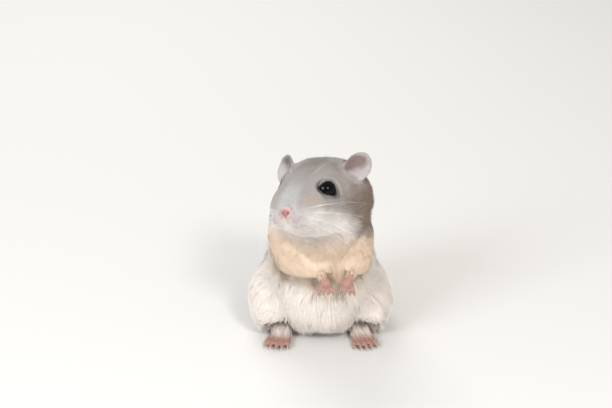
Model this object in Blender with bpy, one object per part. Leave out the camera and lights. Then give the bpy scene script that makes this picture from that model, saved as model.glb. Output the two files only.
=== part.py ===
"""A dwarf hamster sitting up on its haunches, life size, as closed solids.

The whole animal is first modelled as one soft form: overlapping lumps of clay are welded by a voxel
remesh and smoothed. Thin cuts then part it into head, ears, neck, trunk, legs, feet and tail. The
outline is the outline of the coat. Sizes are in millimetres here and are turned into metres once,
when a mesh is made. +Z is up, the animal faces -Y and its left side is at +X.
"""

import math

import bmesh
import bpy
from mathutils import Matrix, Vector

MM = 0.001
GAP = 0.3  # between solids that meet

# Voxel sizes and smoothing of the clay, coarse for the masses and fine for the whole.
MASS_VOXEL = 0.9
MASS_SMOOTHING = 14
FINE_VOXEL = 0.32
FINE_SMOOTHING = 4
BODY_TRIANGLES = 2800
PAW_VOXEL = 0.26
PAW_SMOOTHING = 3
PAW_TRIANGLES = 400
FOOT_TRIANGLES = 440
CUTTER_VOXEL = 0.8
CUTTER_SMOOTHING = 3
CUTTER_TRIANGLES = 180

# The head turns to the animal's right, looks up and tips over a little.
HEAD_TURN = -34.6
HEAD_LIFT = 21.0
HEAD_TIP = -13.9
EYES_MIDDLE = Vector((-4.4, -11.0, 46.0))

# Places on the head are (left, forward, up) from the middle between the eyes.
EYE_OUT = 6.0
EYE_FORWARD = -0.7
EYE_LEVEL = -0.9
EYE_RADIUS = 2.8
EYE_OPENING_RADIUS = 2.4
EYE_OPENING_REACH = 2.6
NOSE_TIP = 9.9
NOSE_LEVEL = -6.6
NOSE_RADII = (1.7, 1.4, 1.2)
WHISKER_BED_RADII = (2.9, 2.5, 2.1)
EAR_OUT = 11.7
EAR_BACK = 8.2
EAR_LEVEL = 5.9
EAR_HALF_WIDTH = 3.9
EAR_HALF_HEIGHT = 4.5
EAR_CUP = 2.3
EAR_THICKNESS = 1.1

# One row for each station of the head, nose to nape: forward, top, bottom, half width, and how much
# narrower the brow is than the cheeks.
HEAD_STATIONS = (
    (9.1, -4.8, -9.0, 2.6, 0.00),
    (8.1, -3.2, -10.3, 4.6, 0.08),
    (6.2, -0.4, -11.2, 7.0, 0.16),
    (3.4, 3.0, -11.9, 9.0, 0.32),
    (0.0, 5.7, -12.8, 9.7, 0.46),
    (-4.0, 7.6, -13.9, 12.3, 0.22),
    (-8.5, 8.8, -14.7, 13.7, 0.08),
    (-13.0, 8.4, -14.6, 13.4, 0.06),
    (-17.0, 5.2, -13.6, 12.0, 0.10),
)
HEAD_MIDDLE = 0.5  # how far up a section is widest
CROWN_SQUARENESS = 0.78  # 1 is a round crown, less is flatter between the ears

# One row for each level of the trunk, floor to neck: height, middle x, middle y, half width, half depth.
TRUNK_STATIONS = (
    (-1.4, 0.0, 3.5, 13.0, 12.0),
    (5.0, 0.0, 3.5, 17.0, 17.0),
    (11.0, 0.0, 3.3, 17.6, 18.1),
    (16.0, -0.1, 3.0, 16.4, 17.8),
    (21.0, -0.2, 2.5, 14.8, 16.8),
    (27.0, -0.3, 1.6, 14.2, 15.4),
    (33.0, -0.6, 0.3, 13.8, 13.8),
    (38.0, -1.2, -1.0, 12.4, 11.8),
)

# The large lumps that fill out the trunk: centre and radii.
RUMP = Vector((0.0, 6.3, 10.6)), (16.0, 15.6, 11.0)
BELLY = Vector((0.0, -2.5, 12.5)), (14.0, 15.0, 12.0)
CHEST = Vector((0.6, -5.8, 25.5)), (11.0, 11.4, 11.0)
SHOULDER_RADII = (6.2, 7.5, 8.0)

# Digits: how many, the spread of their roots, and the radii at root, knuckle, tip and claw.
TOES_FRONT = 4
TOES_FRONT_SPREAD = 2.7
TOE_FRONT_RADII = (0.62, 0.56, 0.48, 0.27)
TOES_HIND = 5
TOES_HIND_SPREAD = 4.8
TOE_HIND_RADII = (0.85, 0.72, 0.6, 0.28)


def turned(yaw, lift, tip):
    """The rotation of the head: tip about its own axis, lift the nose, then turn about the vertical."""
    return (
        Matrix.Rotation(math.radians(yaw), 3, "Z")
        @ Matrix.Rotation(math.radians(-lift), 3, "X")
        @ Matrix.Rotation(math.radians(tip), 3, "Y")
    )


HEAD_FRAME = turned(HEAD_TURN, HEAD_LIFT, HEAD_TIP)


def on_head(left, forward, up):
    """A place on the head, in the animal's frame."""
    return EYES_MIDDLE + HEAD_FRAME @ Vector((left, -forward, up))


def along_head(left, forward, up):
    """A direction on the head, in the animal's frame."""
    return (HEAD_FRAME @ Vector((left, -forward, up))).normalized()


# ---------------------------------------------------------------- lumps of clay


def ball(centre, radii, frame=None, segments=24):
    """An ellipsoid, as a bmesh in millimetres."""
    lump = bmesh.new()
    bmesh.ops.create_uvsphere(lump, u_segments=segments, v_segments=segments // 2, radius=1.0)
    size = Matrix.Diagonal(Vector(radii))
    place = (frame or Matrix.Identity(3)) @ size
    lump.transform(Matrix.Translation(centre) @ place.to_4x4())
    return lump


def limb(*joints, segments=16):
    """Tapered lengths of a limb through (place, radius) joints, each the hull of two balls."""
    lump = bmesh.new()
    for (start, r0), (end, r1) in zip(joints, joints[1:]):
        length = bmesh.new()
        for place, radius in ((start, r0), (end, r1)):
            one = ball(Vector(place), (radius,) * 3, segments=segments)
            for vert in one.verts:
                length.verts.new(vert.co)
            one.free()
        hull = bmesh.ops.convex_hull(length, input=length.verts)
        spare = [v for v in hull["geom_interior"] if isinstance(v, bmesh.types.BMVert)]
        bmesh.ops.delete(length, geom=spare, context="VERTS")
        append(lump, length)
    return lump


def append(lump, other):
    """Adds the geometry of other to lump and frees other."""
    mesh = bpy.data.meshes.new("lump")
    other.to_mesh(mesh)
    other.free()
    lump.from_mesh(mesh)
    bpy.data.meshes.remove(mesh)


def loft(rings):
    """A closed form through rings of equal length, with fans at its ends."""
    lump = bmesh.new()
    rows = [[lump.verts.new(p) for p in ring] for ring in rings]
    count = len(rings[0])
    for low, high in zip(rows, rows[1:]):
        for i in range(count):
            j = (i + 1) % count
            lump.faces.new((low[i], low[j], high[j], high[i]))
    for row, flip in ((rows[0], True), (rows[-1], False)):
        middle = lump.verts.new(sum((v.co for v in row), Vector()) / count)
        for i in range(count):
            j = (i + 1) % count
            corners = (middle, row[j], row[i]) if flip else (middle, row[i], row[j])
            lump.faces.new(corners)
    bmesh.ops.recalc_face_normals(lump, faces=lump.faces)
    return lump


def head_mass(points=28):
    """The head between nose and nape, with a flattish crown and round cheeks."""
    rings = []
    for forward, top, bottom, half_width, brow in HEAD_STATIONS:
        middle = bottom + HEAD_MIDDLE * (top - bottom)
        ring = []
        for i in range(points):
            a = 2 * math.pi * i / points
            out, rise = math.cos(a), math.sin(a)
            if rise > 0:
                out = math.copysign(abs(out) ** CROWN_SQUARENESS, out)
                rise = rise ** CROWN_SQUARENESS
            height = (top - middle) if rise > 0 else (middle - bottom)
            width = half_width * (1.0 - brow * max(0.0, rise))
            ring.append(on_head(width * out, forward, middle + height * rise))
        rings.append(ring)
    return loft(rings)


def trunk_mass(points=32):
    """The sitting trunk from floor to neck."""
    rings = []
    for height, x, y, half_width, half_depth in TRUNK_STATIONS:
        ring = []
        for i in range(points):
            a = 2 * math.pi * i / points
            ring.append(Vector((x + half_width * math.cos(a), y + half_depth * math.sin(a), height)))
        rings.append(ring)
    return loft(rings)


def masses():
    """The large forms: trunk, haunches, shoulders, neck, head and cheeks."""
    lumps = [trunk_mass(), head_mass()]
    for centre, radii in (RUMP, BELLY, CHEST):
        lumps.append(ball(centre, radii))
    for side in (-1, 1):
        lumps.append(haunch_ball(side, 0.0, 24))
        lumps.append(ball(Vector((side * 8.6 - 0.5, -4.0, 29.0)), SHOULDER_RADII))
    nape = [(on_head(0, -8.5, -5.5), 12.0), (Vector((-0.6, 0.8, 31.0)), 14.2)]
    lumps.append(limb(*nape, segments=24))
    return lumps


# ---------------------------------------------------------------- limbs, ears, tail


FORELEG = {
    "shoulder": (Vector((9.4, -5.0, 29.5)), 5.2),
    "elbow": (Vector((9.2, -10.8, 24.8)), 4.0),
    "wrist": (Vector((4.0, -17.2, 23.6)), 2.0),
    "palm": (Vector((2.8, -19.0, 21.6)), 1.6),
}
PAW_MIDDLE = 4.0  # the paws hang a little to the animal's left
SWAY = {"shoulder": 0.0, "elbow": 0.2, "wrist": 1.0, "palm": 1.0}
PAW_ROOM = (2.8, 3.5)  # half the width and depth of the room that a hanging paw takes
PAW_ROOM_DEPTH = 8.0


def foreleg_joint(side, name):
    """The place and radius of one joint of a foreleg."""
    place, radius = FORELEG[name]
    return Vector((side * place.x + SWAY[name] * PAW_MIDDLE, place.y, place.z)), radius


def foreleg_lumps(side):
    """Upper arm, forearm and palm."""
    return [limb(*(foreleg_joint(side, name) for name in ("shoulder", "elbow", "wrist", "palm")))]


def forepaw_lumps(side):
    """A hanging paw: palm, four bent toes and their claws."""
    wrist, wrist_radius = foreleg_joint(side, "wrist")
    palm, radius = foreleg_joint(side, "palm")
    down = (palm - wrist).normalized()
    lumps = [limb((wrist, wrist_radius), (palm, radius), segments=14)]
    across = Vector((1, 0, 0))
    for toe in range(TOES_FRONT):
        spread = (toe - (TOES_FRONT - 1) / 2) / (TOES_FRONT - 1)
        root = palm + across * spread * TOES_FRONT_SPREAD + down * 0.6
        knuckle = root + across * spread * 0.9 + Vector((0, -0.7, -1.2))
        tip = knuckle + across * spread * 0.3 + Vector((0, 0.1, -1.2))
        claw = tip + Vector((0, 0.5, -1.1))
        lumps.append(limb(*zip((root, knuckle, tip, claw), TOE_FRONT_RADII), segments=10))
    return lumps


HAUNCH = Vector((12.6, 0.0, 8.8))
HAUNCH_RADII = (7.6, 13.5, 9.2)
HEEL = Vector((9.6, -3.0, 2.8))
FOOT_LENGTH = 9.4
FOOT_SPLAY = 12.0
HEEL_RADIUS = 3.2
BALL_OF_FOOT_RADIUS = 2.0
BALL_OF_FOOT_RADII = (2.8, 2.3, 1.7)
ANKLE_RADIUS = 3.05


def haunch_ball(side, grow, segments):
    """The thigh of a sitting animal: a flat egg that leans forward and opens outward in front."""
    frame = Matrix.Rotation(math.radians(side * 7), 3, "Z") @ Matrix.Rotation(math.radians(6), 3, "X")
    radii = tuple(radius + grow for radius in HAUNCH_RADII)
    return ball(Vector((side * HAUNCH.x, HAUNCH.y, HAUNCH.z)), radii, frame, segments)


def foot_axes(side):
    """The directions ahead of a hind foot and across it."""
    ahead = Matrix.Rotation(math.radians(side * FOOT_SPLAY), 3, "Z") @ Vector((0, -1, 0))
    return ahead, Vector((-ahead.y, ahead.x, 0))


def sole_lump(side):
    """A hind foot from heel to the ball of the foot, and where its ball lies."""
    ahead, _ = foot_axes(side)
    heel = Vector((side * HEEL.x, HEEL.y, HEEL.z))
    ball_of_foot = heel + ahead * FOOT_LENGTH + Vector((0, 0, -1.3))
    return limb((heel, HEEL_RADIUS), (ball_of_foot, BALL_OF_FOOT_RADIUS), segments=14), ball_of_foot


def ankle_place(side):
    """Where the fur of the haunch ends on the foot, and the direction ahead."""
    ahead, _ = foot_axes(side)
    return Vector((side * HEEL.x, HEEL.y, 2.4)) + ahead * 5.6, ahead


def hindfoot_lumps(side):
    """A hind foot flat on the floor: sole, five toes and their claws."""
    ahead, across = foot_axes(side)
    sole, ball_of_foot = sole_lump(side)
    lumps = [sole]
    frame = Matrix((across, -ahead, (0, 0, 1))).transposed()
    lumps.append(ball(ball_of_foot, BALL_OF_FOOT_RADII, frame))
    for toe in range(TOES_HIND):
        spread = (toe - (TOES_HIND - 1) / 2) / (TOES_HIND - 1)
        reach = 1.0 - 1.1 * spread * spread
        root = ball_of_foot + across * spread * TOES_HIND_SPREAD + ahead * 0.6 + Vector((0, 0, -0.4))
        knuckle = root + ahead * 1.9 * reach + across * spread * 1.5 + Vector((0, 0, 0.15))
        tip = knuckle + ahead * 1.5 * reach + Vector((0, 0, -0.65))
        claw = tip + ahead * 1.4 + Vector((0, 0, -0.25))
        lumps.append(limb(*zip((root, knuckle, tip, claw), TOE_HIND_RADII), segments=10))
    return lumps


TAIL = ((Vector((0.0, 18.0, 5.4)), 2.6), (Vector((0.3, 22.2, 3.9)), 1.8), (Vector((0.7, 24.3, 3.1)), 1.0))


def ear_frame(side):
    """Axes of an ear: across, the way its mouth faces, and along it to the top."""
    mouth = along_head(side * 0.47, 0.85, 0.2)
    rise = along_head(side * 0.34, -0.28, 0.9)
    rise = (rise - mouth * rise.dot(mouth)).normalized()
    across = mouth.cross(rise)
    return Matrix((across, mouth, rise)).transposed()


def ear_lump(side, rings=7, points=26):
    """A cupped leaf with a rolled rim, made thick by a second sheet behind the first."""
    frame = ear_frame(side)
    middle = on_head(side * EAR_OUT, -EAR_BACK, EAR_LEVEL)

    def sheet(r, a, back):
        across = EAR_HALF_WIDTH * r * math.cos(a) * (1.0 - 0.10 * math.sin(a))
        height = EAR_HALF_HEIGHT * r * math.sin(a)
        forward = EAR_CUP * r * r * (1.0 - 0.35 * max(0.0, math.sin(a))) - back
        return middle + frame @ Vector((across, forward - EAR_CUP * 0.5, height))

    half = EAR_THICKNESS / 2
    inside_rim = 1 - half / EAR_HALF_WIDTH
    angles = [2 * math.pi * i / points for i in range(points)]
    shares = [ring / rings for ring in range(1, rings + 1)]
    courses = [(share * inside_rim, 0.0) for share in shares]
    courses.append((1.0, half))
    courses += [(share * inside_rim, EAR_THICKNESS) for share in reversed(shares)]
    lump = bmesh.new()
    front = lump.verts.new(sheet(0, 0, 0))
    rear = lump.verts.new(sheet(0, 0, EAR_THICKNESS))
    rows = [[lump.verts.new(sheet(r, a, back)) for a in angles] for r, back in courses]
    for low, high in zip(rows, rows[1:]):
        for i in range(points):
            j = (i + 1) % points
            lump.faces.new((low[i], low[j], high[j], high[i]))
    for i in range(points):
        j = (i + 1) % points
        lump.faces.new((front, rows[0][j], rows[0][i]))
        lump.faces.new((rear, rows[-1][i], rows[-1][j]))
    bmesh.ops.recalc_face_normals(lump, faces=lump.faces)
    return lump


# ---------------------------------------------------------------- welding and cutting


def mesh_of(lumps, name):
    """One object holding the lumps, in metres."""
    whole = bmesh.new()
    for lump in lumps:
        append(whole, lump)
    whole.transform(Matrix.Scale(MM, 4))
    mesh = bpy.data.meshes.new(name)
    whole.to_mesh(mesh)
    whole.free()
    thing = bpy.data.objects.new(name, mesh)
    bpy.context.scene.collection.objects.link(thing)
    return thing


def apply_modifiers(thing):
    """Replaces an object's mesh by what its modifiers make of it."""
    graph = bpy.context.evaluated_depsgraph_get()
    made = bpy.data.meshes.new_from_object(thing.evaluated_get(graph))
    thing.modifiers.clear()
    thing.data = made
    return thing


def weld(thing, voxel, smoothing):
    """Welds overlapping clay into one skin and smooths it."""
    remesh = thing.modifiers.new("weld", "REMESH")
    remesh.mode = "VOXEL"
    remesh.voxel_size = voxel * MM
    smooth = thing.modifiers.new("smooth", "SMOOTH")
    smooth.factor = 0.5
    smooth.iterations = smoothing
    return apply_modifiers(thing)


def reduced(thing, triangles):
    """Fewer faces where the form is flat."""
    count = sum(len(p.vertices) - 2 for p in thing.data.polygons)
    fewer = thing.modifiers.new("reduce", "DECIMATE")
    fewer.ratio = min(1.0, triangles / count)
    return apply_modifiers(thing)


def combined(thing, other, operation):
    """A new object: thing INTERSECT or DIFFERENCE other."""
    made = bpy.data.objects.new(thing.name + "_cut", thing.data.copy())
    bpy.context.scene.collection.objects.link(made)
    cut = made.modifiers.new("cut", "BOOLEAN")
    cut.operation = operation
    cut.solver = "EXACT"
    cut.object = other
    return apply_modifiers(made)


def remove(*things):
    for thing in things:
        bpy.data.objects.remove(thing)


def largest_piece(thing):
    """Keeps the largest connected piece, so that no loose crumb of a cut is left."""
    mesh = bmesh.new()
    mesh.from_mesh(thing.data)
    left = set(mesh.verts)
    pieces = []
    while left:
        seed = left.pop()
        piece, edge = {seed}, [seed]
        while edge:
            for link in edge.pop().link_edges:
                for vert in link.verts:
                    if vert in left:
                        left.discard(vert)
                        piece.add(vert)
                        edge.append(vert)
        pieces.append(piece)
    keep = max(pieces, key=len)
    crumbs = [v for piece in pieces if piece is not keep for v in piece]
    bmesh.ops.delete(mesh, geom=crumbs, context="VERTS")
    bmesh.ops.dissolve_degenerate(mesh, dist=1e-6, edges=mesh.edges)
    mesh.to_mesh(thing.data)
    mesh.free()
    return thing


def block(point, normal, half_sizes, depth, grow):
    """A box that starts at point and reaches depth along normal, grown by grow on every side."""
    normal = normal.normalized()
    across = Vector((0, 0, 1)).cross(normal)
    across = across.normalized() if across.length > 0.1 else Vector((1, 0, 0))
    other = normal.cross(across)
    frame = Matrix((across, other, normal)).transposed().to_4x4()
    lump = bmesh.new()
    bmesh.ops.create_cube(lump, size=1.0)
    sizes = [2 * (half + grow) for half in half_sizes] + [depth + 2 * grow, 1]
    place = Matrix.Translation(point + normal * (depth / 2))
    lump.transform(place @ frame @ Matrix.Diagonal(Vector(sizes)))
    return mesh_of([lump], "block")


def slab(point, normal, width, depth=60.0, grow=0.0):
    """A wide block: the half space beyond a plane, as far as the animal reaches."""
    return block(point, normal, (width / 2, width / 2), depth, grow)


def part_off(body, name, territory, finer=None, trim=None):
    """Parts the node off the body. territory(grow) makes the cutter, grown by the gap for what stays.

    Where a finer form of the node is given, that form takes the node's place, cut by trim."""
    inner = trim or territory(0.0)
    node = largest_piece(combined(finer or body, inner, "INTERSECT"))
    outer = territory(GAP)
    rest = largest_piece(combined(body, outer, "DIFFERENCE"))
    remove(inner, outer, body)
    node.name = node.data.name = name
    rest.name = "body"
    return node, rest


# ---------------------------------------------------------------- finish


FINISHES = {
    "grey_fur": ((0.42, 0.38, 0.35), 0.9),
    "white_fur": ((0.78, 0.70, 0.62), 0.9),
    "bare_skin": ((0.72, 0.45, 0.40), 0.6),
    "nose_skin": ((0.72, 0.33, 0.30), 0.5),
    "eye": ((0.01, 0.01, 0.012), 0.08),
}


def finish(thing, kind):
    """Gives a node its plain material and smooth shading."""
    colour, roughness = FINISHES[kind]
    material = bpy.data.materials.get(kind) or bpy.data.materials.new(kind)
    material.use_nodes = True
    surface = material.node_tree.nodes["Principled BSDF"]
    surface.inputs["Base Color"].default_value = (*colour, 1)
    surface.inputs["Roughness"].default_value = roughness
    thing.data.materials.clear()
    thing.data.materials.append(material)
    thing.data.shade_smooth()
    return thing


def modelled_body():
    """The whole animal in one piece, without eyes."""
    body = weld(mesh_of(masses(), "masses"), MASS_VOXEL, MASS_SMOOTHING)
    details = [limb(*TAIL), ball(on_head(0, NOSE_TIP - 1.2, NOSE_LEVEL), NOSE_RADII, HEAD_FRAME)]
    for side in (-1, 1):
        details += foreleg_lumps(side)
        details += [sole_lump(side)[0], ear_lump(side)]
        whisker_bed = on_head(side * 2.3, 7.4, -8.4)
        details.append(ball(whisker_bed, WHISKER_BED_RADII, HEAD_FRAME))
    extra = mesh_of(details, "details")
    joined = bmesh.new()
    joined.from_mesh(body.data)
    joined.from_mesh(extra.data)
    joined.to_mesh(body.data)
    joined.free()
    remove(extra)
    return weld(body, FINE_VOXEL, FINE_SMOOTHING)


# ---------------------------------------------------------------- the territory of each node


def eye_centre(side):
    return on_head(side * EYE_OUT, EYE_FORWARD, EYE_LEVEL)


def eye_ball(side):
    return mesh_of([ball(eye_centre(side), (EYE_RADIUS,) * 3, segments=16)], "eye")


def eye_socket(side):
    """Room for the eye, opened outward so that the fur stands back from it."""
    centre = eye_centre(side)
    opening = centre + along_head(side * 0.74, 0.66, 0.06) * EYE_OPENING_REACH
    joints = ((centre, EYE_RADIUS + GAP), (opening, EYE_OPENING_RADIUS))
    return mesh_of([limb(*joints, segments=14)], "socket")


def ear_territory(side, grow):
    middle = on_head(side * EAR_OUT, -EAR_BACK, EAR_LEVEL)
    radii = (EAR_HALF_WIDTH + 0.8 + grow, EAR_CUP + 1.0 + grow, EAR_HALF_HEIGHT + 0.8 + grow)
    return mesh_of([ball(middle, radii, ear_frame(side), segments=16)], "ear")


def nose_territory(grow):
    middle = on_head(0, NOSE_TIP - 0.6, NOSE_LEVEL + 0.1)
    return mesh_of([ball(middle, (1.6 + grow, 1.5 + grow, 1.2 + grow), HEAD_FRAME, segments=12)], "nose")


def head_territory(grow):
    """Everything above a plane from the throat to the nape."""
    throat = on_head(0, 3.0, -14.8)
    up = along_head(0, 0.62, 0.78) + Vector((0, -0.1, 1))
    return slab(throat, up, 60.0, grow=grow)


def neck_territory(grow):
    return slab(Vector((0, 0, 31.0)), Vector((0, -0.12, 1)), 60.0, grow=grow)


def foreleg_territory(side, grow):
    joints = []
    for name, extra in (("shoulder", 0.7), ("elbow", 0.9), ("wrist", 0.9)):
        place, radius = foreleg_joint(side, name)
        joints.append((place, radius + extra + grow))
    cutter = weld(mesh_of([limb(*joints, segments=24)], "foreleg"), CUTTER_VOXEL, CUTTER_SMOOTHING)
    return reduced(cutter, CUTTER_TRIANGLES)


def forepaw_territory(side, grow):
    wrist, _ = foreleg_joint(side, "wrist")
    palm, _ = foreleg_joint(side, "palm")
    down = (palm - wrist).normalized()
    return block(wrist + down * 0.6, down, PAW_ROOM, PAW_ROOM_DEPTH, grow)


def hindleg_territory(side, grow):
    return mesh_of([haunch_ball(side, 0.5 + grow, 14)], "haunch")


def hindfoot_territory(side, grow):
    """A sleeve around the foot from the ankle to its ball."""
    ankle, _ = ankle_place(side)
    ball_of_foot = sole_lump(side)[1]
    return mesh_of([limb((ankle, ANKLE_RADIUS + grow), (ball_of_foot, 2.9 + grow), segments=12)], "sleeve")


def hindfoot_trim(side):
    """What is kept of the fine foot: all of it ahead of the ankle."""
    ankle, ahead = ankle_place(side)
    beyond = ankle + ahead * 9.0
    return mesh_of([limb((ankle, ANKLE_RADIUS), (beyond, 8.0), segments=16)], "trim")


def tail_territory(grow):
    root, tip = Vector((0.1, 22.2, 4.0)), Vector((0.9, 26.0, 2.6))
    return mesh_of([limb((root, 2.9 + grow), (tip, 2.2 + grow), segments=12)], "tail")


def above_floor(thing):
    """Cuts a form flat where it stands on the floor."""
    room = slab(Vector((0, 0, 0)), Vector((0, 0, 1)), 200.0)
    made = largest_piece(combined(thing, room, "INTERSECT"))
    remove(thing, room)
    return made


def fine_form(name, side=0):
    """A paw or foot at a finer grain than the body, and its trim; nothing for other nodes."""
    if name.startswith("forepaw"):
        lumps, triangles, trim = forepaw_lumps(side), PAW_TRIANGLES, None
    elif name.startswith("hindfoot"):
        lumps, triangles, trim = hindfoot_lumps(side), FOOT_TRIANGLES, hindfoot_trim(side)
    else:
        return None, None
    welded = reduced(weld(mesh_of(lumps, "fine"), PAW_VOXEL, PAW_SMOOTHING), triangles)
    return above_floor(welded), trim


def solids(body):
    """Parts the whole body into its nodes, smallest territories first."""
    nodes = {}
    for side, hand in ((1, "left"), (-1, "right")):
        socket = eye_socket(side)
        socketed = largest_piece(combined(body, socket, "DIFFERENCE"))
        remove(body, socket)
        body = socketed
        nodes["eye_" + hand] = (eye_ball(side), "eye")
    plan = [("nose", nose_territory, (), "nose_skin")]
    for side, hand in ((1, "left"), (-1, "right")):
        plan.append(("ear_" + hand, ear_territory, (side,), "bare_skin"))
        plan.append(("forepaw_" + hand, forepaw_territory, (side,), "bare_skin"))
        plan.append(("foreleg_" + hand, foreleg_territory, (side,), "white_fur"))
        plan.append(("hindfoot_" + hand, hindfoot_territory, (side,), "bare_skin"))
    plan.append(("tail", tail_territory, (), "grey_fur"))
    plan.append(("head", head_territory, (), "grey_fur"))
    plan.append(("neck", neck_territory, (), "grey_fur"))
    for side, hand in ((1, "left"), (-1, "right")):
        plan.append(("hindleg_" + hand, hindleg_territory, (side,), "grey_fur"))
    for name, territory, where, kind in plan:
        finer, trim = fine_form(name, *where)
        node, body = part_off(body, name, lambda grow: territory(*where, grow), finer, trim)
        nodes[name] = (node, kind)
        if finer:
            remove(finer)
    nodes["trunk"] = (body, "grey_fur")
    return nodes


def centre_on_floor(things):
    """Moves all nodes so that the origin is the middle of the whole animal's box, on the floor."""
    corners = [v.co for thing in things for v in thing.data.vertices]
    low = [min(c[axis] for c in corners) for axis in range(3)]
    high = [max(c[axis] for c in corners) for axis in range(3)]
    shift = Matrix.Translation((-(low[0] + high[0]) / 2, -(low[1] + high[1]) / 2, -low[2]))
    for thing in things:
        thing.data.transform(shift)


def main():
    for thing in list(bpy.data.objects):
        bpy.data.objects.remove(thing)
    standing = above_floor(reduced(modelled_body(), BODY_TRIANGLES))
    nodes = solids(standing)
    for name, (node, kind) in nodes.items():
        node.name = node.data.name = name
        finish(node, kind)
    centre_on_floor([node for node, _ in nodes.values()])


main()
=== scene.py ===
# %% [markdown]
# # A dwarf hamster, sitting up
#
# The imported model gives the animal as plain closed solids. This lesson dresses them: one skin over
# all the flesh, wet dark eyes, claws, whiskers, and a coat made of some two hundred thousand small
# mesh tufts. Lengths are in metres, as everywhere in Blender, and MM turns millimetres into them.

# %% Load the frame
import math

import bmesh
import bpy
import numpy as np
from mathutils import Matrix, Vector
from mathutils.bvhtree import BVHTree
from mathutils.kdtree import KDTree


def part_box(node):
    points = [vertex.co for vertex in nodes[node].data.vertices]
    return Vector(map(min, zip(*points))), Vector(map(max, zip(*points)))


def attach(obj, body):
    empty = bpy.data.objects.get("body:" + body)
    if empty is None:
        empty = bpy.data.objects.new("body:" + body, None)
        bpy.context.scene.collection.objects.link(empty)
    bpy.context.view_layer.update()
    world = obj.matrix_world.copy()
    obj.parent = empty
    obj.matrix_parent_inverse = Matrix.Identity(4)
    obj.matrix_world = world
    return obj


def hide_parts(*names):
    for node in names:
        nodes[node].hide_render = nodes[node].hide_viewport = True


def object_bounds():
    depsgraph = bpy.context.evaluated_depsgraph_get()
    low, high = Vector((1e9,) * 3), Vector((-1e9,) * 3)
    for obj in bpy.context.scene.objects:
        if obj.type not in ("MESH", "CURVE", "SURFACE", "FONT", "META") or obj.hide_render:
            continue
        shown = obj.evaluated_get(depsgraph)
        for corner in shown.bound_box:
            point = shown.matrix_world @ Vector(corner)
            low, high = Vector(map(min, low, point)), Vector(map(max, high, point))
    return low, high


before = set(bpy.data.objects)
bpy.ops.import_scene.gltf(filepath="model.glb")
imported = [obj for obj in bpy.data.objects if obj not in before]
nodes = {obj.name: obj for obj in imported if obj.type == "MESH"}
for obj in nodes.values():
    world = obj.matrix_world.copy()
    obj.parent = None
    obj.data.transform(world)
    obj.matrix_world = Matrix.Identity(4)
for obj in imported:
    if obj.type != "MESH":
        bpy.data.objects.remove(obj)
cad_box = [list(corner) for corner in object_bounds()]
scene = bpy.context.scene
MM = 0.001
print("nodes", len(nodes), "box", cad_box)

# %% [markdown]
# ## Where things are on the animal
#
# A sculptor works from a few landmarks. The two eyeballs fix the head, because the head is a rigid
# thing: once its turn, lift and tip are known, every place on it can be said as so much to the
# left, forward and up from the point between the eyes. The same offset carries the joints of the
# limbs from the maker's own drawing into the model's frame.

# %% Landmarks
HEAD_TURN, HEAD_LIFT, HEAD_TIP = -34.6, 21.0, -13.9
DRAWN_EYES = Vector((-4.4, -11.0, 46.0))
EYE_FORWARD, EYE_LEVEL, EYE_RADIUS = -0.7, -0.9, 2.8
NOSE_TIP, NOSE_LEVEL = 9.9, -6.6
EAR_HALF_WIDTH, EAR_HALF_HEIGHT = 3.9, 4.5
EYE_RAISE = 0.45  # the dressed eye looks out a little higher than its plain solid

HEAD_FRAME = (
    Matrix.Rotation(math.radians(HEAD_TURN), 3, "Z")
    @ Matrix.Rotation(math.radians(-HEAD_LIFT), 3, "X")
    @ Matrix.Rotation(math.radians(HEAD_TIP), 3, "Y")
)
LEFT, FORWARD, UP = HEAD_FRAME.col[0].copy(), -HEAD_FRAME.col[1].copy(), HEAD_FRAME.col[2].copy()


def middle_of(node):
    """The middle of a node's box."""
    low, high = (Vector(corner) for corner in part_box(node))
    return (low + high) / 2


eye_centres = {side: middle_of("eye_" + name) for side, name in ((1, "left"), (-1, "right"))}
between_eyes = (eye_centres[1] + eye_centres[-1]) / 2
HEAD_ORIGIN = between_eyes - (FORWARD * EYE_FORWARD + UP * EYE_LEVEL) * MM
STANCE = HEAD_ORIGIN - DRAWN_EYES * MM
eye_centres = {side: centre + UP * EYE_RAISE * MM for side, centre in eye_centres.items()}


def on_head(left, forward, up):
    """A place on the head, given in millimetres from the point between the eyes."""
    return HEAD_ORIGIN + (LEFT * left + FORWARD * forward + UP * up) * MM


def head_way(side, out, forward, up):
    """A direction on the head, with so much outward on this side, forward and up."""
    return LEFT * side * out + FORWARD * forward + UP * up


def on_body(x, y, z):
    """A place on the body, given in millimetres as on the maker's drawing."""
    return Vector((x, y, z)) * MM + STANCE


print("eyes apart", round((eye_centres[1] - eye_centres[-1]).length / MM, 2), "mm")

# %% [markdown]
# ## Stage, camera and light
#
# A museum model stands on a plain pale floor. The camera looks down at it through a long lens,
# which keeps a small animal's proportions. Light that is large and close wraps round fur and shows
# its softness, so most of it comes from a wide window at the left. A smaller key from the upper
# right draws the form, and a panel behind parts the animal from the floor. The wet eyes mirror the
# window and the key.

# %% Camera
CAMERA_ELEVATION = 24.0
CAMERA_DISTANCE = 450.0
AIM_BELOW_EYES = 4.25
AIM_BESIDE_EYES = 0.25
LENS = 100.0

tilt = math.radians(CAMERA_ELEVATION)
toward_camera = Vector((0, -math.cos(tilt), math.sin(tilt)))
camera_up = Vector((0, math.sin(tilt), math.cos(tilt)))
camera_right = Vector((1, 0, 0))
aim = HEAD_ORIGIN + (camera_right * AIM_BESIDE_EYES - camera_up * AIM_BELOW_EYES) * MM
camera = bpy.data.objects.new("camera", bpy.data.cameras.new("camera"))
camera.data.lens = LENS
camera.data.clip_start = 0.01
turned = Matrix((camera_right, camera_up, toward_camera)).transposed().to_4x4()
camera.matrix_world = Matrix.Translation(aim + toward_camera * CAMERA_DISTANCE * MM) @ turned
scene.collection.objects.link(camera)
scene.camera = camera

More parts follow.
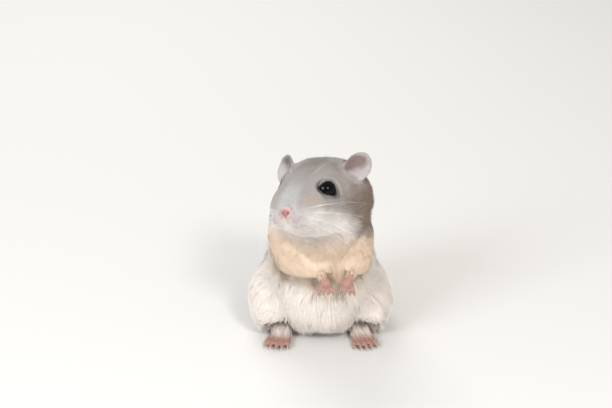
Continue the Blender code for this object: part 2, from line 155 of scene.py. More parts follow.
# %% Floor
FLOOR_SIZE = 3.0
floor_mesh = bpy.data.meshes.new("floor")
half = FLOOR_SIZE / 2
floor_corners = [(-half, -half, 0), (half, -half, 0), (half, half, 0), (-half, half, 0)]
floor_mesh.from_pydata(floor_corners, [], [(0, 1, 2, 3)])
floor = bpy.data.objects.new("floor", floor_mesh)
scene.collection.objects.link(floor)
print("floor", FLOOR_SIZE, "m")


# %% Lights
def light_panel(name, place, size, power, colour):
    """A square area light that looks at the animal, placed in millimetres from where the camera aims."""
    lamp = bpy.data.lights.new(name, "AREA")
    lamp.size, lamp.energy, lamp.color = size * MM, power, colour
    panel = bpy.data.objects.new(name, lamp)
    panel.location = aim + Vector(place) * MM
    panel.rotation_euler = (aim - panel.location).to_track_quat("-Z", "Y").to_euler()
    scene.collection.objects.link(panel)


LIGHTS = {
    "key": ((165, -345, 300), 100, 1.05, (1.0, 0.97, 0.93)),
    "window": ((-330, -330, 270), 230, 1.55, (0.9, 0.95, 1.0)),
    "back": ((-120, 380, 360), 300, 1.1, (1.0, 0.98, 0.95)),
}
for name, (place, size, power, colour) in LIGHTS.items():
    light_panel(name, place, size, power, colour)

ROOM_LIGHT, ROOM_COLOUR = 0.54, (1.0, 0.98, 0.96, 1)
world = bpy.data.worlds.new("room")
scene.world = world
world.use_nodes = True
world.node_tree.nodes["Background"].inputs["Color"].default_value = ROOM_COLOUR
world.node_tree.nodes["Background"].inputs["Strength"].default_value = ROOM_LIGHT
scene.view_settings.view_transform = "Standard"
print("lights", list(LIGHTS), "and the room at", ROOM_LIGHT)

# %% [markdown]
# ## Shader maths as plain expressions
#
# Markings are sums and products of soft masks. Written node by node they are hard to read, so one
# small class wraps a socket: adding or multiplying two of its objects adds the Math node that does
# it, and `node` makes any other node.


# %% Socket wrapper
class Wire:
    """A shader socket that takes part in Python expressions."""

    def __init__(self, tree, socket):
        self.tree, self.socket = tree, socket

    def node(self, kind, settings=None, output=0, **inputs):
        """Adds a node, sets its settings, then its sockets by name or number, and wraps an output."""
        made = self.tree.nodes.new(kind)
        for key, value in (settings or {}).items():
            setattr(made, key, value)
        for key, value in inputs.items():
            place = int(key[1:]) if key[0] == "_" else key.replace("_", " ")
            if isinstance(value, Wire):
                self.tree.links.new(value.socket, made.inputs[place])
            else:
                made.inputs[place].default_value = value
        return Wire(self.tree, made.outputs[output])

    def math(self, operation, *values):
        """A Math node on numbers."""
        inputs = {f"_{i}": value for i, value in enumerate(values)}
        return self.node("ShaderNodeMath", {"operation": operation}, **inputs)

    def vector(self, operation, output, **inputs):
        """A Vector Math node."""
        return self.node("ShaderNodeVectorMath", {"operation": operation}, output, **inputs)

    def __add__(self, other):
        return self.math("ADD", self, other)

    def __sub__(self, other):
        return self.math("SUBTRACT", self, other)

    def __rsub__(self, other):
        return self.math("SUBTRACT", other, self)

    def __mul__(self, other):
        return self.math("MULTIPLY", self, other)

    def __abs__(self):
        return self.math("ABSOLUTE", self)

    __radd__ = __add__
    __rmul__ = __mul__

    def lower(self, other):
        return self.math("MINIMUM", self, other)

    def higher(self, other):
        return self.math("MAXIMUM", self, other)

    def rises(self, start, end):
        """0 below start, 1 above end, and a soft step between them; start may be the larger."""
        settings = {"interpolation_type": "SMOOTHSTEP"}
        if start < end:
            return self.node("ShaderNodeMapRange", settings, _0=self, _1=start, _2=end)
        return self.node("ShaderNodeMapRange", settings, _0=self, _1=end, _2=start, _3=1.0, _4=0.0)

    def between(self, first, second):
        """A number between first and second, by this mask."""
        return first + (second - first) * self

    def parts(self):
        """The three numbers of a vector."""
        split = self.node("ShaderNodeSeparateXYZ", None, 0, Vector=self).socket.node
        return [Wire(self.tree, socket) for socket in split.outputs]

    def blend(self, first, second):
        """A colour between first and second, by this mask."""
        first, second = (c if isinstance(c, Wire) else (*c, 1.0) for c in (first, second))
        return self.node("ShaderNodeMix", {"data_type": "RGBA"}, 2, _0=self, _6=first, _7=second)

    def along(self, axis, origin):
        """How far this place is from the origin along an axis, in millimetres."""
        from_origin = self.vector("SUBTRACT", 0, _0=self, _1=tuple(origin))
        return self.vector("DOT_PRODUCT", "Value", _0=from_origin, _1=tuple(Vector(axis) / MM))


def new_material(name, roughness, **constants):
    """A Principled material with its constant sockets set, and a wire to start expressions from."""
    material = bpy.data.materials.new(name)
    material.use_nodes = True
    surface = material.node_tree.nodes["Principled BSDF"]
    surface.inputs["Roughness"].default_value = roughness
    for key, value in constants.items():
        surface.inputs[key.replace("_", " ")].default_value = value
    return material, surface, Wire(material.node_tree, None)


def connect(wire, surface, name):
    """Links a wire to one of the surface's sockets."""
    wire.tree.links.new(wire.socket, surface.inputs[name])


FLOOR_COLOUR, FLOOR_ROUGHNESS = (0.78, 0.77, 0.75, 1), 0.85
material, surface, _ = new_material("pale_floor", FLOOR_ROUGHNESS)
surface.inputs["Base Color"].default_value = FLOOR_COLOUR
floor_mesh.materials.append(material)
print(material.name)

# %% [markdown]
# ## One skin
#
# Under a coat there is a single skin. It could be modelled afresh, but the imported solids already
# have the right form, so they are cast in one: the large solids are let out a little so that
# neighbours touch, the lot is rebuilt as one surface of small cubes, and that surface is eased
# smooth. Later it is drawn in by the depth of the coat, so that hair grown on it ends where the
# solids end.
#
# Paws and feet are cast apart, from finer clay, because toes would run together in the coarse one.
# Each is given a root that reaches up inside the leg, and the fur of the leg closes over it.

# %% Tools for meshes
BODY_LET_OUT, SMALL_LET_OUT = 0.3, 0.04
BODY_GRAIN, PAW_GRAIN, FOOT_GRAIN = 0.45, 0.2, 0.24
BODY_EASING, PAW_EASING = 8, 4


def mesh_places(mesh):
    """Vertex places as an array of rows."""
    places = np.empty(len(mesh.vertices) * 3)
    mesh.vertices.foreach_get("co", places)
    return places.reshape(-1, 3)


def mesh_normals(mesh):
    rows = np.empty(len(mesh.vertices) * 3)
    mesh.vertices.foreach_get("normal", rows)
    return rows.reshape(-1, 3)


def edge_pairs(mesh):
    pairs = np.empty(len(mesh.edges) * 2, int)
    mesh.edges.foreach_get("vertices", pairs)
    return pairs.reshape(-1, 2)


def eased(values, pairs, rounds, share=0.5):
    """Values on the vertices, each drawn towards the mean of its neighbours, round after round."""
    count = len(values)
    values = values.reshape(count, -1).astype(float)
    degree = np.bincount(pairs.ravel(), minlength=count).clip(1)
    for _ in range(rounds):
        for column in range(values.shape[1]):
            one = values[:, column]
            total = np.bincount(pairs[:, 0], one[pairs[:, 1]], count)
            total += np.bincount(pairs[:, 1], one[pairs[:, 0]], count)
            values[:, column] = one + (total / degree - one) * share
    return values


def unit(rows):
    """Rows made one long."""
    return rows / np.linalg.norm(rows, axis=-1, keepdims=True).clip(1e-12)


def step(values, start, end):
    """0 at start, 1 at end, with a soft step between; start may be the larger."""
    share = ((values - start) / (end - start)).clip(0, 1)
    return share * share * (3 - 2 * share)


def hump(values, middle, width):
    """1 at the middle, fading over about a width to each side."""
    return np.exp(-(((values - middle) / width) ** 2))


def select_only(thing):
    for other in bpy.context.selected_objects:
        other.select_set(False)
    thing.select_set(True)
    bpy.context.view_layer.objects.active = thing


def cast(name, members, grain, rounds, extra=()):
    """One closed surface round several solids, each given with how far it is let out."""
    lumps = bmesh.new()
    for node, let_out in members:
        single = bmesh.new()
        single.from_mesh(nodes[node].data)
        bmesh.ops.remove_doubles(single, verts=single.verts, dist=1e-6)
        bmesh.ops.recalc_face_normals(single, faces=single.faces)
        single.normal_update()
        for vertex in single.verts:
            vertex.co += vertex.normal * let_out * MM
        copy = bpy.data.meshes.new("copy")
        single.to_mesh(copy)
        single.free()
        lumps.from_mesh(copy)
        bpy.data.meshes.remove(copy)
    for start, start_radius, end, end_radius in extra:
        run = end - start
        for number in range(ROOT_BALLS):
            share = number / (ROOT_BALLS - 1)
            radius = (start_radius + (end_radius - start_radius) * share) * MM
            place = Matrix.Translation(start + run * share)
            bmesh.ops.create_icosphere(lumps, subdivisions=2, radius=radius, matrix=place)
    mesh = bpy.data.meshes.new(name)
    lumps.to_mesh(mesh)
    lumps.free()
    made = bpy.data.objects.new(name, mesh)
    scene.collection.objects.link(made)
    select_only(made)
    mesh.remesh_voxel_size = grain * MM
    bpy.ops.object.voxel_remesh()
    places = eased(mesh_places(made.data), edge_pairs(made.data), rounds)
    made.data.vertices.foreach_set("co", places.ravel())
    made.data.update()
    return made


# %% Cast the body
ROOT_BALLS = 9
PAWS = ("forepaw_left", "forepaw_right", "hindfoot_left", "hindfoot_right")
SMALL = ("ear_left", "ear_right", "nose", "eye_left", "eye_right")
SHOULDER, ELBOW, WRIST, PALM = (9.4, -5, 29.5), (9.2, -10.8, 24.8), (4.0, -17.2, 23.6), (2.8, -19, 21.6)
SWAY = 4.0
ELBOW_SWAY = 0.2
HEEL, FOOT_LENGTH, SPLAY = (9.6, -3, 2.8), 9.4, 12.0

body_members = [
    (name, SMALL_LET_OUT if name in SMALL else BODY_LET_OUT)
    for name in sorted(nodes)
    if name not in PAWS
]
skin = cast("skin", body_members, BODY_GRAIN, BODY_EASING)
print("cast body", len(skin.data.vertices), "vertices")


def arm_joint(place, side, sway):
    return on_body(side * place[0] + SWAY * sway, place[1], place[2])


def foot_line(side):
    """The heel of a hindfoot, and the way its toes point."""
    ahead = Matrix.Rotation(math.radians(side * SPLAY), 3, "Z") @ Vector((0, -1, 0))
    return on_body(side * HEEL[0], HEEL[1], HEEL[2]), ahead


def chain(points, radii):
    """Runs of clay through several points, each with its radius."""
    return [(points[i], radii[i], points[i + 1], radii[i + 1]) for i in range(len(points) - 1)]


# %% [markdown]
# Four toes on the forepaw and five on the hindfoot, each a tapering run of clay from its root over
# the knuckle to the tip. The claw starts where the toe ends and is a piece of its own.

# %% Toes
FINGERS, TOES = 4, 5
FINGER_RADII, TOE_RADII, CLAW_RADII = (0.56, 0.5, 0.42), (0.78, 0.64, 0.54), (0.2375, 0.05)
PALM_RADIUS, WRIST_RADIUS, FOREARM_RADIUS, PAW_EDGE_RADIUS = 1.35, 1.55, 1.6, 1.1
ARCH_RADIUS, HEEL_RADIUS = 1.5, 2.1
FOREARM_SHARE = 0.4
FINGER_FAN, KNUCKLE_FAN, FINGERTIP_FAN = 2.7, 0.9, 0.3
KNUCKLE_STEP, FINGERTIP_STEP = (-0.7, -1.2), (0.1, -1.2)
FINGER_DROP, PAW_EDGE_RISE = 0.6, 0.4
FINGER_CLAW = (0, -0.15, -0.6), (0, 0.4, -1.1)  # its middle and end, from the fingertip
HEEL_FAN, BALL_FAN, TOE_FAN = 2.2, 4.8, 1.5
HEEL_BACK, ARCH_RISE, BALL_DROP, OUTER_TOES_SHORTER = 0.5, 0.25, 1.3, 1.1
TOE_ROOT, KNUCKLE, TOE_TIP = (0.6, -0.4), (1.9, 0.15), (1.5, -0.65)  # ahead and up, each from the last
TOE_CLAW = (0.8, 0.12), (1.4, -0.22)  # its middle and end, ahead and up from the toe's tip
paw_casts, claw_runs = [], []


def mm(x, y, z):
    return Vector((x, y, z)) * MM


for side, end in ((1, "left"), (-1, "right")):
    wrist, palm = arm_joint(WRIST, side, 1), arm_joint(PALM, side, 1)
    elbow = arm_joint(ELBOW, side, ELBOW_SWAY)
    forearm = wrist + (elbow - wrist) * FOREARM_SHARE
    clay = chain([palm, wrist, forearm], [PALM_RADIUS, WRIST_RADIUS, FOREARM_RADIUS])
    for finger in range(FINGERS):
        spread = (finger - (FINGERS - 1) / 2) / (FINGERS - 1)
        root = palm + mm(spread * FINGER_FAN, 0, -FINGER_DROP)
        knuckle = root + mm(spread * KNUCKLE_FAN, *KNUCKLE_STEP)
        tip = knuckle + mm(spread * FINGERTIP_FAN, *FINGERTIP_STEP)
        edge = palm + mm(spread, 0, PAW_EDGE_RISE)
        clay += chain([edge, root, knuckle, tip], [PAW_EDGE_RADIUS, *FINGER_RADII])
        claw_runs.append((tip, *(tip + mm(*step_on) for step_on in FINGER_CLAW)))
    paw_casts.append(cast("paw", [], PAW_GRAIN, PAW_EASING, clay))
    heel, ahead = foot_line(side)
    across = Vector((-ahead.y, ahead.x, 0))
    ball = heel + ahead * FOOT_LENGTH * MM + mm(0, 0, -BALL_DROP)
    clay = []
    for toe in range(TOES):
        spread = (toe - (TOES - 1) / 2) / (TOES - 1)
        reach = 1 - OUTER_TOES_SHORTER * spread**2
        root = ball + (across * spread * BALL_FAN + ahead * TOE_ROOT[0]) * MM + mm(0, 0, TOE_ROOT[1])
        knuckle = root + (ahead * KNUCKLE[0] * reach + across * spread * TOE_FAN) * MM
        knuckle += mm(0, 0, KNUCKLE[1])
        tip = knuckle + ahead * TOE_TIP[0] * reach * MM + mm(0, 0, TOE_TIP[1])
        sole = heel + (across * spread * HEEL_FAN - ahead * HEEL_BACK) * MM
        middle = (sole + root) / 2 + mm(0, 0, ARCH_RISE)
        clay += chain([sole, middle, root, knuckle, tip], [HEEL_RADIUS, ARCH_RADIUS, *TOE_RADII])
        claw_runs.append((tip, *(tip + ahead * along * MM + mm(0, 0, rise) for along, rise in TOE_CLAW)))
    paw_casts.append(cast("foot", [], FOOT_GRAIN, PAW_EASING, clay))
print("paws and feet", [len(thing.data.vertices) for thing in paw_casts], "vertices")

# %% [markdown]
# The face needs finer clay than the back. The faces round the eyes, nose and mouth are cut smaller
# before anything is modelled on them.

# %% Finer clay on the face
NOSE_PLACE = on_head(0, NOSE_TIP - 1.8, NOSE_LEVEL - 1.0)
eye_places = [eye_centres[side] for side in (1, -1)]
FINER = [
    [(place, 5.6) for place in eye_places] + [(NOSE_PLACE, 6.4)],
    [(place, 4.2) for place in eye_places] + [(NOSE_PLACE, 4.6)],
]

clay = bmesh.new()
clay.from_mesh(skin.data)
for places_to_cut in FINER:
    near = [
        edge
        for edge in clay.edges
        if any((edge.verts[0].co - place).length < reach * MM for place, reach in places_to_cut)
    ]
    bmesh.ops.subdivide_edges(clay, edges=near, cuts=1, use_grid_fill=True)
bmesh.ops.triangulate(clay, faces=[face for face in clay.faces if len(face.verts) > 4])
clay.to_mesh(skin.data)
clay.free()
print("finer skin", len(skin.data.vertices), "vertices")

# %% Join the paws to it
body_vertices = len(skin.data.vertices)
select_only(skin)
for thing in paw_casts:
    thing.select_set(True)
bpy.ops.object.join()
skin.name = skin.data.name = "skin"
print("one skin", len(skin.data.vertices), "vertices")

# %% [markdown]
# ## Which part of the body each place belongs to
#
# The nearest solid says whether a place is cheek, back or toe. From that come the depth of the coat
# and the way it lies. A hard change at a border would show as a parting, so both are eased over
# the surface afterwards.

# %% Parts of the body
part_names = sorted(name for name in nodes if not name.startswith("eye"))
corners, triangles, owners = [], [], []
for number, name in enumerate(part_names):
    mesh = nodes[name].data
    mesh.calc_loop_triangles()
    base = len(corners)
    corners += [vertex.co.copy() for vertex in mesh.vertices]
    triangles += [[base + v for v in triangle.vertices] for triangle in mesh.loop_triangles]
    owners += [number] * len(mesh.loop_triangles)
solids = BVHTree.FromPolygons(corners, triangles)
places = mesh_places(skin.data)
pairs = edge_pairs(skin.data)
part = np.array([owners[solids.find_nearest(place)[2]] for place in places])


def belongs(*names):
    """1 where the skin belongs to one of these solids, 0 elsewhere."""
    return np.isin(part, [part_names.index(name) for name in names]).astype(float)


def both(name):
    return name + "_left", name + "_right"


head_axes = np.array([LEFT, FORWARD, UP])


def head_measures(rows):
    """Places as so many millimetres left, forward and up on the head."""
    return (rows - np.array(HEAD_ORIGIN)) @ head_axes.T / MM


def body_measures(rows):
    """Places in millimetres as on the maker's drawing."""
    return (rows - np.array(STANCE)) / MM


on_skull = head_measures(places)
on_trunk = body_measures(places)
print({name: int(belongs(name).sum()) for name in part_names})

# %% [markdown]
# ## Depth of the coat
#
# A dwarf hamster's coat is two to three millimetres of down on the body, shorter on the crown, and
# mere plush on the muzzle and round the eyes. Ears, nose and toes are all but bare, and short fur
# covers the top of the hindfoot. The skin is drawn in by that depth along its own normals.

# %% Draw the skin in
BODY_DEPTH, NECK_DEPTH, HAUNCH_DEPTH, ARM_DEPTH, TAIL_DEPTH = 2.5, 2.3, 2.3, 1.0, 0.5
MUZZLE_DEPTH, CROWN_DEPTH, CHEEK_DEPTH = 0.45, 1.2, 2.1
BARE_DEPTH, FOOT_FUR_DEPTH = 0.12, 0.42
DEPTH_BY_LIDS = 0.22  # share of the head's depth that is left at the lids
FACE_TO_NAPE, CROWN_TO_CHEEK, LIDS_TO_CHEEK = (8, -9), (3, -6), (3.6, 9.0)
SOLE_TO_INSTEP, BARE_PAST_BALL, FURRED_BEHIND_BALL = (1.0, 2.2), 1.5, 3
DEPTH_EASING, FOOT_FUR_EASING, OUTWARD_EASING, SKIN_EASING = 14, 3, 6, 2

face_to_nape = step(on_skull[:, 1], *FACE_TO_NAPE)
low_on_head = step(on_skull[:, 2], *CROWN_TO_CHEEK)
head_depth = MUZZLE_DEPTH + face_to_nape * (
    CROWN_DEPTH - MUZZLE_DEPTH + (CHEEK_DEPTH - CROWN_DEPTH) * low_on_head
)
from_eyes = [np.linalg.norm(places - np.array(place), axis=1) for place in eye_places]
eye_distance = np.min(from_eyes, axis=0) / MM
head_depth *= DEPTH_BY_LIDS + (1 - DEPTH_BY_LIDS) * step(eye_distance, *LIDS_TO_CHEEK)
depth = (
    belongs("head") * head_depth
    + belongs("neck") * NECK_DEPTH
    + belongs("trunk") * BODY_DEPTH
    + belongs("tail") * TAIL_DEPTH
    + belongs(*both("foreleg")) * ARM_DEPTH
    + belongs(*both("hindleg")) * HAUNCH_DEPTH
    + belongs(*PAWS, *both("ear")) * BARE_DEPTH
)
depth = eased(depth, pairs, DEPTH_EASING)[:, 0]
bare = belongs(*PAWS, *both("ear"), "nose") > 0
depth[bare] = np.minimum(depth[bare], BARE_DEPTH)
foot_fur = np.zeros(len(places))
for side, end in ((1, "left"), (-1, "right")):
    heel, ahead = foot_line(side)
    past_heel = (places - np.array(heel)) @ np.array(ahead) / MM
    above_sole = step(on_trunk[:, 2], *SOLE_TO_INSTEP)
    behind_toes = step(past_heel, FOOT_LENGTH + BARE_PAST_BALL, FOOT_LENGTH - FURRED_BEHIND_BALL)
    foot_fur += belongs("hindfoot_" + end) * behind_toes * above_sole
depth += foot_fur * (FOOT_FUR_DEPTH - BARE_DEPTH)
depth = eased(depth, pairs, FOOT_FUR_EASING)[:, 0]
outward = unit(eased(mesh_normals(skin.data), pairs, OUTWARD_EASING))
places = places - outward * depth[:, None] * MM
places = eased(places, pairs, SKIN_EASING)
print("coat", round(float(depth.min()), 2), "to", round(float(depth.max()), 2), "mm deep")

# %% [markdown]
# The solids of the arms stand apart from the chest, and the real arm is sunk in its fur. So the
# skin is eased hard there, and the forearm is drawn in towards its own axis to a slim wrist.

# %% Melt the creases where the arms lie on the chest
MELTING_ROUNDS, MELTING_BORDER, ARM_BORDER = 45, 8, 3
ELBOW_LEVELS = 22.5, 25
TAPER_START, TAPER_END, TAPER_SHARE = -6.5, -0.8, 0.45
ON_ARM, OFF_ARM = 0.3, -50.0
WRIST_COAT, WRIST_COAT_EDGES = 0.45, (-4, -1)  # share by which the coat is shallower at the wrist

on_body_skin = np.arange(len(places)) < body_vertices
arms = belongs(*both("foreleg")) * step(on_trunk[:, 2], *ELBOW_LEVELS)
melting = eased(np.maximum(arms, belongs("neck")), pairs, MELTING_BORDER) * on_body_skin[:, None]
places += (eased(places, pairs, MELTING_ROUNDS) - places) * melting
past_wrist = np.full(len(places), OFF_ARM)
for side, end in ((1, "left"), (-1, "right")):
    elbow, wrist = arm_joint(ELBOW, side, ELBOW_SWAY), arm_joint(WRIST, side, 1)
    heading = np.array((wrist - elbow).normalized())
    from_wrist = places - np.array(wrist)
    past = from_wrist @ heading
    off_axis = from_wrist - np.outer(past, heading)
    share = eased(belongs("foreleg_" + end), pairs, ARM_BORDER)[:, 0] * on_body_skin
    places -= off_axis * (TAPER_SHARE * step(past / MM, TAPER_START, TAPER_END) * share)[:, None]
    past_wrist = np.where(share > ON_ARM, past / MM, past_wrist)
depth *= 1 - WRIST_COAT * step(past_wrist, *WRIST_COAT_EDGES)
print("arms tapered at", int((past_wrist > TAPER_START).sum()), "vertices")

# %% [markdown]
# ## Lids, nose and mouth
#
# The eyeball is a separate glossy ball, and the skin has to close round it in two lids. Seen along
# the eye's own axis, the opening is nearly round, flattened below and drawn out into a corner at
# the back. Outside that line the skin rises to the ball and forms the lid's edge; inside it, the
# skin passes behind the ball, out of sight.

# %% Eyelids
OPENING = 1.8
BACK_CORNER, BACK_CORNER_ANGLE, BACK_CORNER_WIDTH = 0.82, -33.0, 21.0
FRONT_CORNER, FRONT_CORNER_ANGLE, FRONT_CORNER_WIDTH = 0.42, 178.0, 24.0
LOWER_FLAT, LOWER_FLAT_ANGLE, LOWER_FLAT_WIDTH = -0.38, -102.0, 38.0
EYE_SET_BACK = {1: 0.1, -1: 0.45}
EYE_WAY = 0.74, 0.66, 0.06
SOCKET_REACH, SOCKET_BACK, SOCKET_RIM, SOCKET_BLEND = 7, -1.0, (3.6, 5.2), (4.4, 3.4)
LID_THICKNESS, LID_EDGE, LID_SLOPE, BEHIND_BALL, TUCK = 0.16, 0.15, 1.9, 0.6, -0.08
LID_SWELL, SWELL_PLACE, SWELL_WIDTH = 0.4, 0.9, 1.0
FOLD_DEPTH, FOLD_PLACE, FOLD_WIDTH = 0.1, 0.8, 0.22
LEAST_BALL_HEIGHT = 0.35  # squared, where the skin runs past the side of the ball


def eye_axes(side):
    """Rearward, up and outward directions of an eye."""
    out = head_way(side, *EYE_WAY).normalized()
    rise = (UP - out * UP.dot(out)).normalized()
    rear = rise.cross(out)
    return (rear if rear.dot(FORWARD) < 0 else -rear), rise, out


def lid_line(angle):
    """How far the edge of the lids is from the eye's axis, in each direction seen along it."""
    def turned_from(degrees):
        return (np.degrees(angle) - degrees + 180) % 360 - 180

    return (
        OPENING
        + BACK_CORNER * hump(turned_from(BACK_CORNER_ANGLE), 0, BACK_CORNER_WIDTH)
        + FRONT_CORNER * hump(turned_from(FRONT_CORNER_ANGLE), 0, FRONT_CORNER_WIDTH)
        + LOWER_FLAT * hump(turned_from(LOWER_FLAT_ANGLE), 0, LOWER_FLAT_WIDTH)
    )


def seen_along_eye(rows, side):
    """Millimetres rearward, up and outward of an eye's centre, with the distance from the lid line."""
    local = (rows - np.array(eye_centres[side])) @ np.array(eye_axes(side)).T / MM
    reach = np.hypot(local[:, 0], local[:, 1])
    return local, reach, reach - lid_line(np.arctan2(local[:, 1], local[:, 0]))


for side in (1, -1):
    local, reach, beyond = seen_along_eye(places, side)
    set_back = EYE_SET_BACK[side]
    facing = (local[:, 2] > SOCKET_BACK) & (reach < SOCKET_REACH) & on_body_skin
    ring = facing & (reach > SOCKET_RIM[0]) & (reach < SOCKET_RIM[1])
    terms = np.stack([np.ones(len(local)), local[:, 0], local[:, 1], local[:, 0] ** 2,
                      local[:, 0] * local[:, 1], local[:, 1] ** 2], axis=1)
    plain = terms @ np.linalg.lstsq(terms[ring], local[ring, 2], rcond=None)[0]
    on_line = []
    crosses_line = facing[pairs].all(axis=1) & (beyond[pairs[:, 0]] * beyond[pairs[:, 1]] < 0)
    for a, b in pairs[crosses_line]:
        share = beyond[a] / (beyond[a] - beyond[b])
        near, onto = (a, share) if share < 0.5 else (b, share)
        on_line.append((near, local[a] + (local[b] - local[a]) * onto))
    for near, place in on_line:
        local[near, :2] = place[:2]
        beyond[near] = 0
    reach = np.hypot(local[:, 0], local[:, 1])
    ball = np.sqrt((EYE_RADIUS**2 - reach**2).clip(LEAST_BALL_HEIGHT)) - set_back
    lid = ball + LID_THICKNESS
    away = step(beyond, LID_EDGE, LID_SLOPE)
    height = lid + (plain + LID_SWELL * hump(beyond, SWELL_PLACE, SWELL_WIDTH) - lid) * away
    height -= FOLD_DEPTH * hump(beyond, FOLD_PLACE, FOLD_WIDTH)
    height = np.where(beyond < 0, ball - BEHIND_BALL * step(beyond, 0, TUCK), height)
    share = step(reach, *SOCKET_BLEND) * facing
    local[:, 2] += (height - local[:, 2]) * share
    moved = local @ np.array(eye_axes(side)) * MM + np.array(eye_centres[side])
    places = np.where(share[:, None] > 0, moved, places)
    print("lid skin", int((share > 0).sum()), "vertices")

# %% [markdown]
# Under the nose pad a groove runs down to the mouth, which is a shallow arched crease. Nostrils,
# groove and mouth are dents a fraction of a millimetre deep, pressed in along the skin's normals.

# %% Nose and mouth
NOSTRIL_OUT, NOSTRIL_LEVEL, NOSTRIL_SIZE, NOSTRIL_DEPTH = 0.8, -6.8, 0.3, 0.55
NOSTRIL_LIE, NOSTRIL_SLIT = (0.45, 0.9), 0.6
PHILTRUM_TOP, PHILTRUM_END, PHILTRUM_WIDTH, PHILTRUM_DEPTH = -7.4, -9.3, 0.17, 0.28
PHILTRUM_FADES = 0.3, 0.4
MOUTH_LEVEL, MOUTH_HALF_WIDTH, MOUTH_WIDTH, MOUTH_DEPTH = -9.5, 2.3, 0.2, 0.4
MOUTH_ARCH, MOUTH_FADE = 0.16, 0.8
MUZZLE_START, MUZZLE_FULL = 5.0, 6.5

on_skull = head_measures(places)
left, forward, up = on_skull.T
front = step(forward, MUZZLE_START, MUZZLE_FULL) * on_body_skin
dent = np.zeros(len(places))
for side in (1, -1):
    flat, steep = NOSTRIL_LIE
    along = (left - side * NOSTRIL_OUT) * flat * side + (up - NOSTRIL_LEVEL) * steep
    across = (left - side * NOSTRIL_OUT) * steep - (up - NOSTRIL_LEVEL) * flat * side
    slit = NOSTRIL_SIZE * NOSTRIL_SLIT
    dent += NOSTRIL_DEPTH * np.exp(-((along / NOSTRIL_SIZE) ** 2) - (across / slit) ** 2)
below_top = step(up, PHILTRUM_TOP + PHILTRUM_FADES[0], PHILTRUM_TOP)
above_end = step(up, PHILTRUM_END - PHILTRUM_FADES[1], PHILTRUM_END)
dent += PHILTRUM_DEPTH * hump(left, 0, PHILTRUM_WIDTH) * below_top * above_end
mouth_line = MOUTH_LEVEL - MOUTH_ARCH * left**2
in_mouth = step(abs(left), MOUTH_HALF_WIDTH, MOUTH_HALF_WIDTH - MOUTH_FADE)
dent += MOUTH_DEPTH * hump(up, mouth_line, MOUTH_WIDTH) * in_mouth
skin.data.vertices.foreach_set("co", places.ravel())
skin.data.update()
places = places - mesh_normals(skin.data) * (dent * front)[:, None] * MM
places[:, 2] = places[:, 2].clip(0)
skin.data.vertices.foreach_set("co", places.ravel())
skin.data.update()
skin.data.shade_smooth()
normals = mesh_normals(skin.data)
on_skull = head_measures(places)
on_trunk = body_measures(places)
print("sculpted; lowest skin", round(places[:, 2].min() / MM, 3), "mm")

# %% [markdown]
# ## Eyes
#
# A hamster's eye is all pupil to look at: a black, wet ball with a slightly steeper clear front. A
# ball whose front is pushed out a little gives the bulge. Its finish is near-black, and smooth
# enough to mirror the lamps.

# %% Eyeballs
BULGE, BULGE_REACH = 0.12, 1.5
EYE_RINGS, EYE_SEGMENTS = 40, 64

for side, end in ((1, "left"), (-1, "right")):
    ball = bmesh.new()
    bmesh.ops.create_uvsphere(ball, u_segments=EYE_SEGMENTS, v_segments=EYE_RINGS, radius=EYE_RADIUS * MM)
    for vertex in ball.verts:
        if vertex.co.z > 0:
            off_axis = math.hypot(vertex.co.x, vertex.co.y) / MM
            vertex.co *= 1 + BULGE / EYE_RADIUS * math.exp(-((off_axis / BULGE_REACH) ** 2))
    for face in ball.faces:
        face.smooth = True
    mesh = bpy.data.meshes.new("eyeball_" + end)
    ball.to_mesh(mesh)
    ball.free()
    rear, rise, out = eye_axes(side)
    across = rise.cross(out)
    seat = eye_centres[side] - out * EYE_SET_BACK[side] * MM
    mesh.transform(Matrix.Translation(seat) @ Matrix((across, rise, out)).transposed().to_4x4())
    eyeball = bpy.data.objects.new("eyeball_" + end, mesh)
    scene.collection.objects.link(eyeball)
    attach(eyeball, "root")
    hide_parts("eye_" + end)
    print(eyeball.name, len(mesh.vertices), "vertices")

# %% Eye finish
EYE_BLACK, EYE_ROUGHNESS, EYE_IOR = (0.0006, 0.001, 0.0012, 1), 0.04, 1.28
material, surface, _ = new_material("wet_black_eye", EYE_ROUGHNESS, IOR=EYE_IOR)
surface.inputs["Base Color"].default_value = EYE_BLACK
for end in ("left", "right"):
    bpy.data.objects["eyeball_" + end].data.materials.append(material)
print(material.name)

# %% [markdown]
# ## The lie of the coat
#
# Hair grows back from the nose, over the head and down the body, along each limb to the toes, and
# from the root of the ear to its rim. One direction is worked out for every place on the skin,
# laid flat on the surface, and eased, so that partings turn into soft swirls.

# %% Lie of the coat
FLOW_EASING = 12
SWIRL_LENGTHS = (9.0, 5.0, 2.7)
SWIRL_TURN = 0.16
EAR_FOOT_LONGER = 0.9  # the tufts round the foot of the ear are longer by up to this share
EAR_MOUTH_WAY, EAR_RISE_WAY = (0.47, 0.85, 0.2), (0.34, -0.28, 0.9)
PAST_ELBOW, AT_WRIST = (-2, 2), (-3.5, -0.5)
LIDS_PULL, LIDS_PULL_REACH, FAR_FROM_LIDS = 1.2, 1.3, 9.0
FULL_TURN = 6.28
rng = np.random.default_rng(7)


def toward(rows, place):
    return unit(np.array(place)[None] - rows)


def run_of(start, end):
    return np.array(end - start) / (end - start).length


def weight(*names):
    return belongs(*names)[:, None]


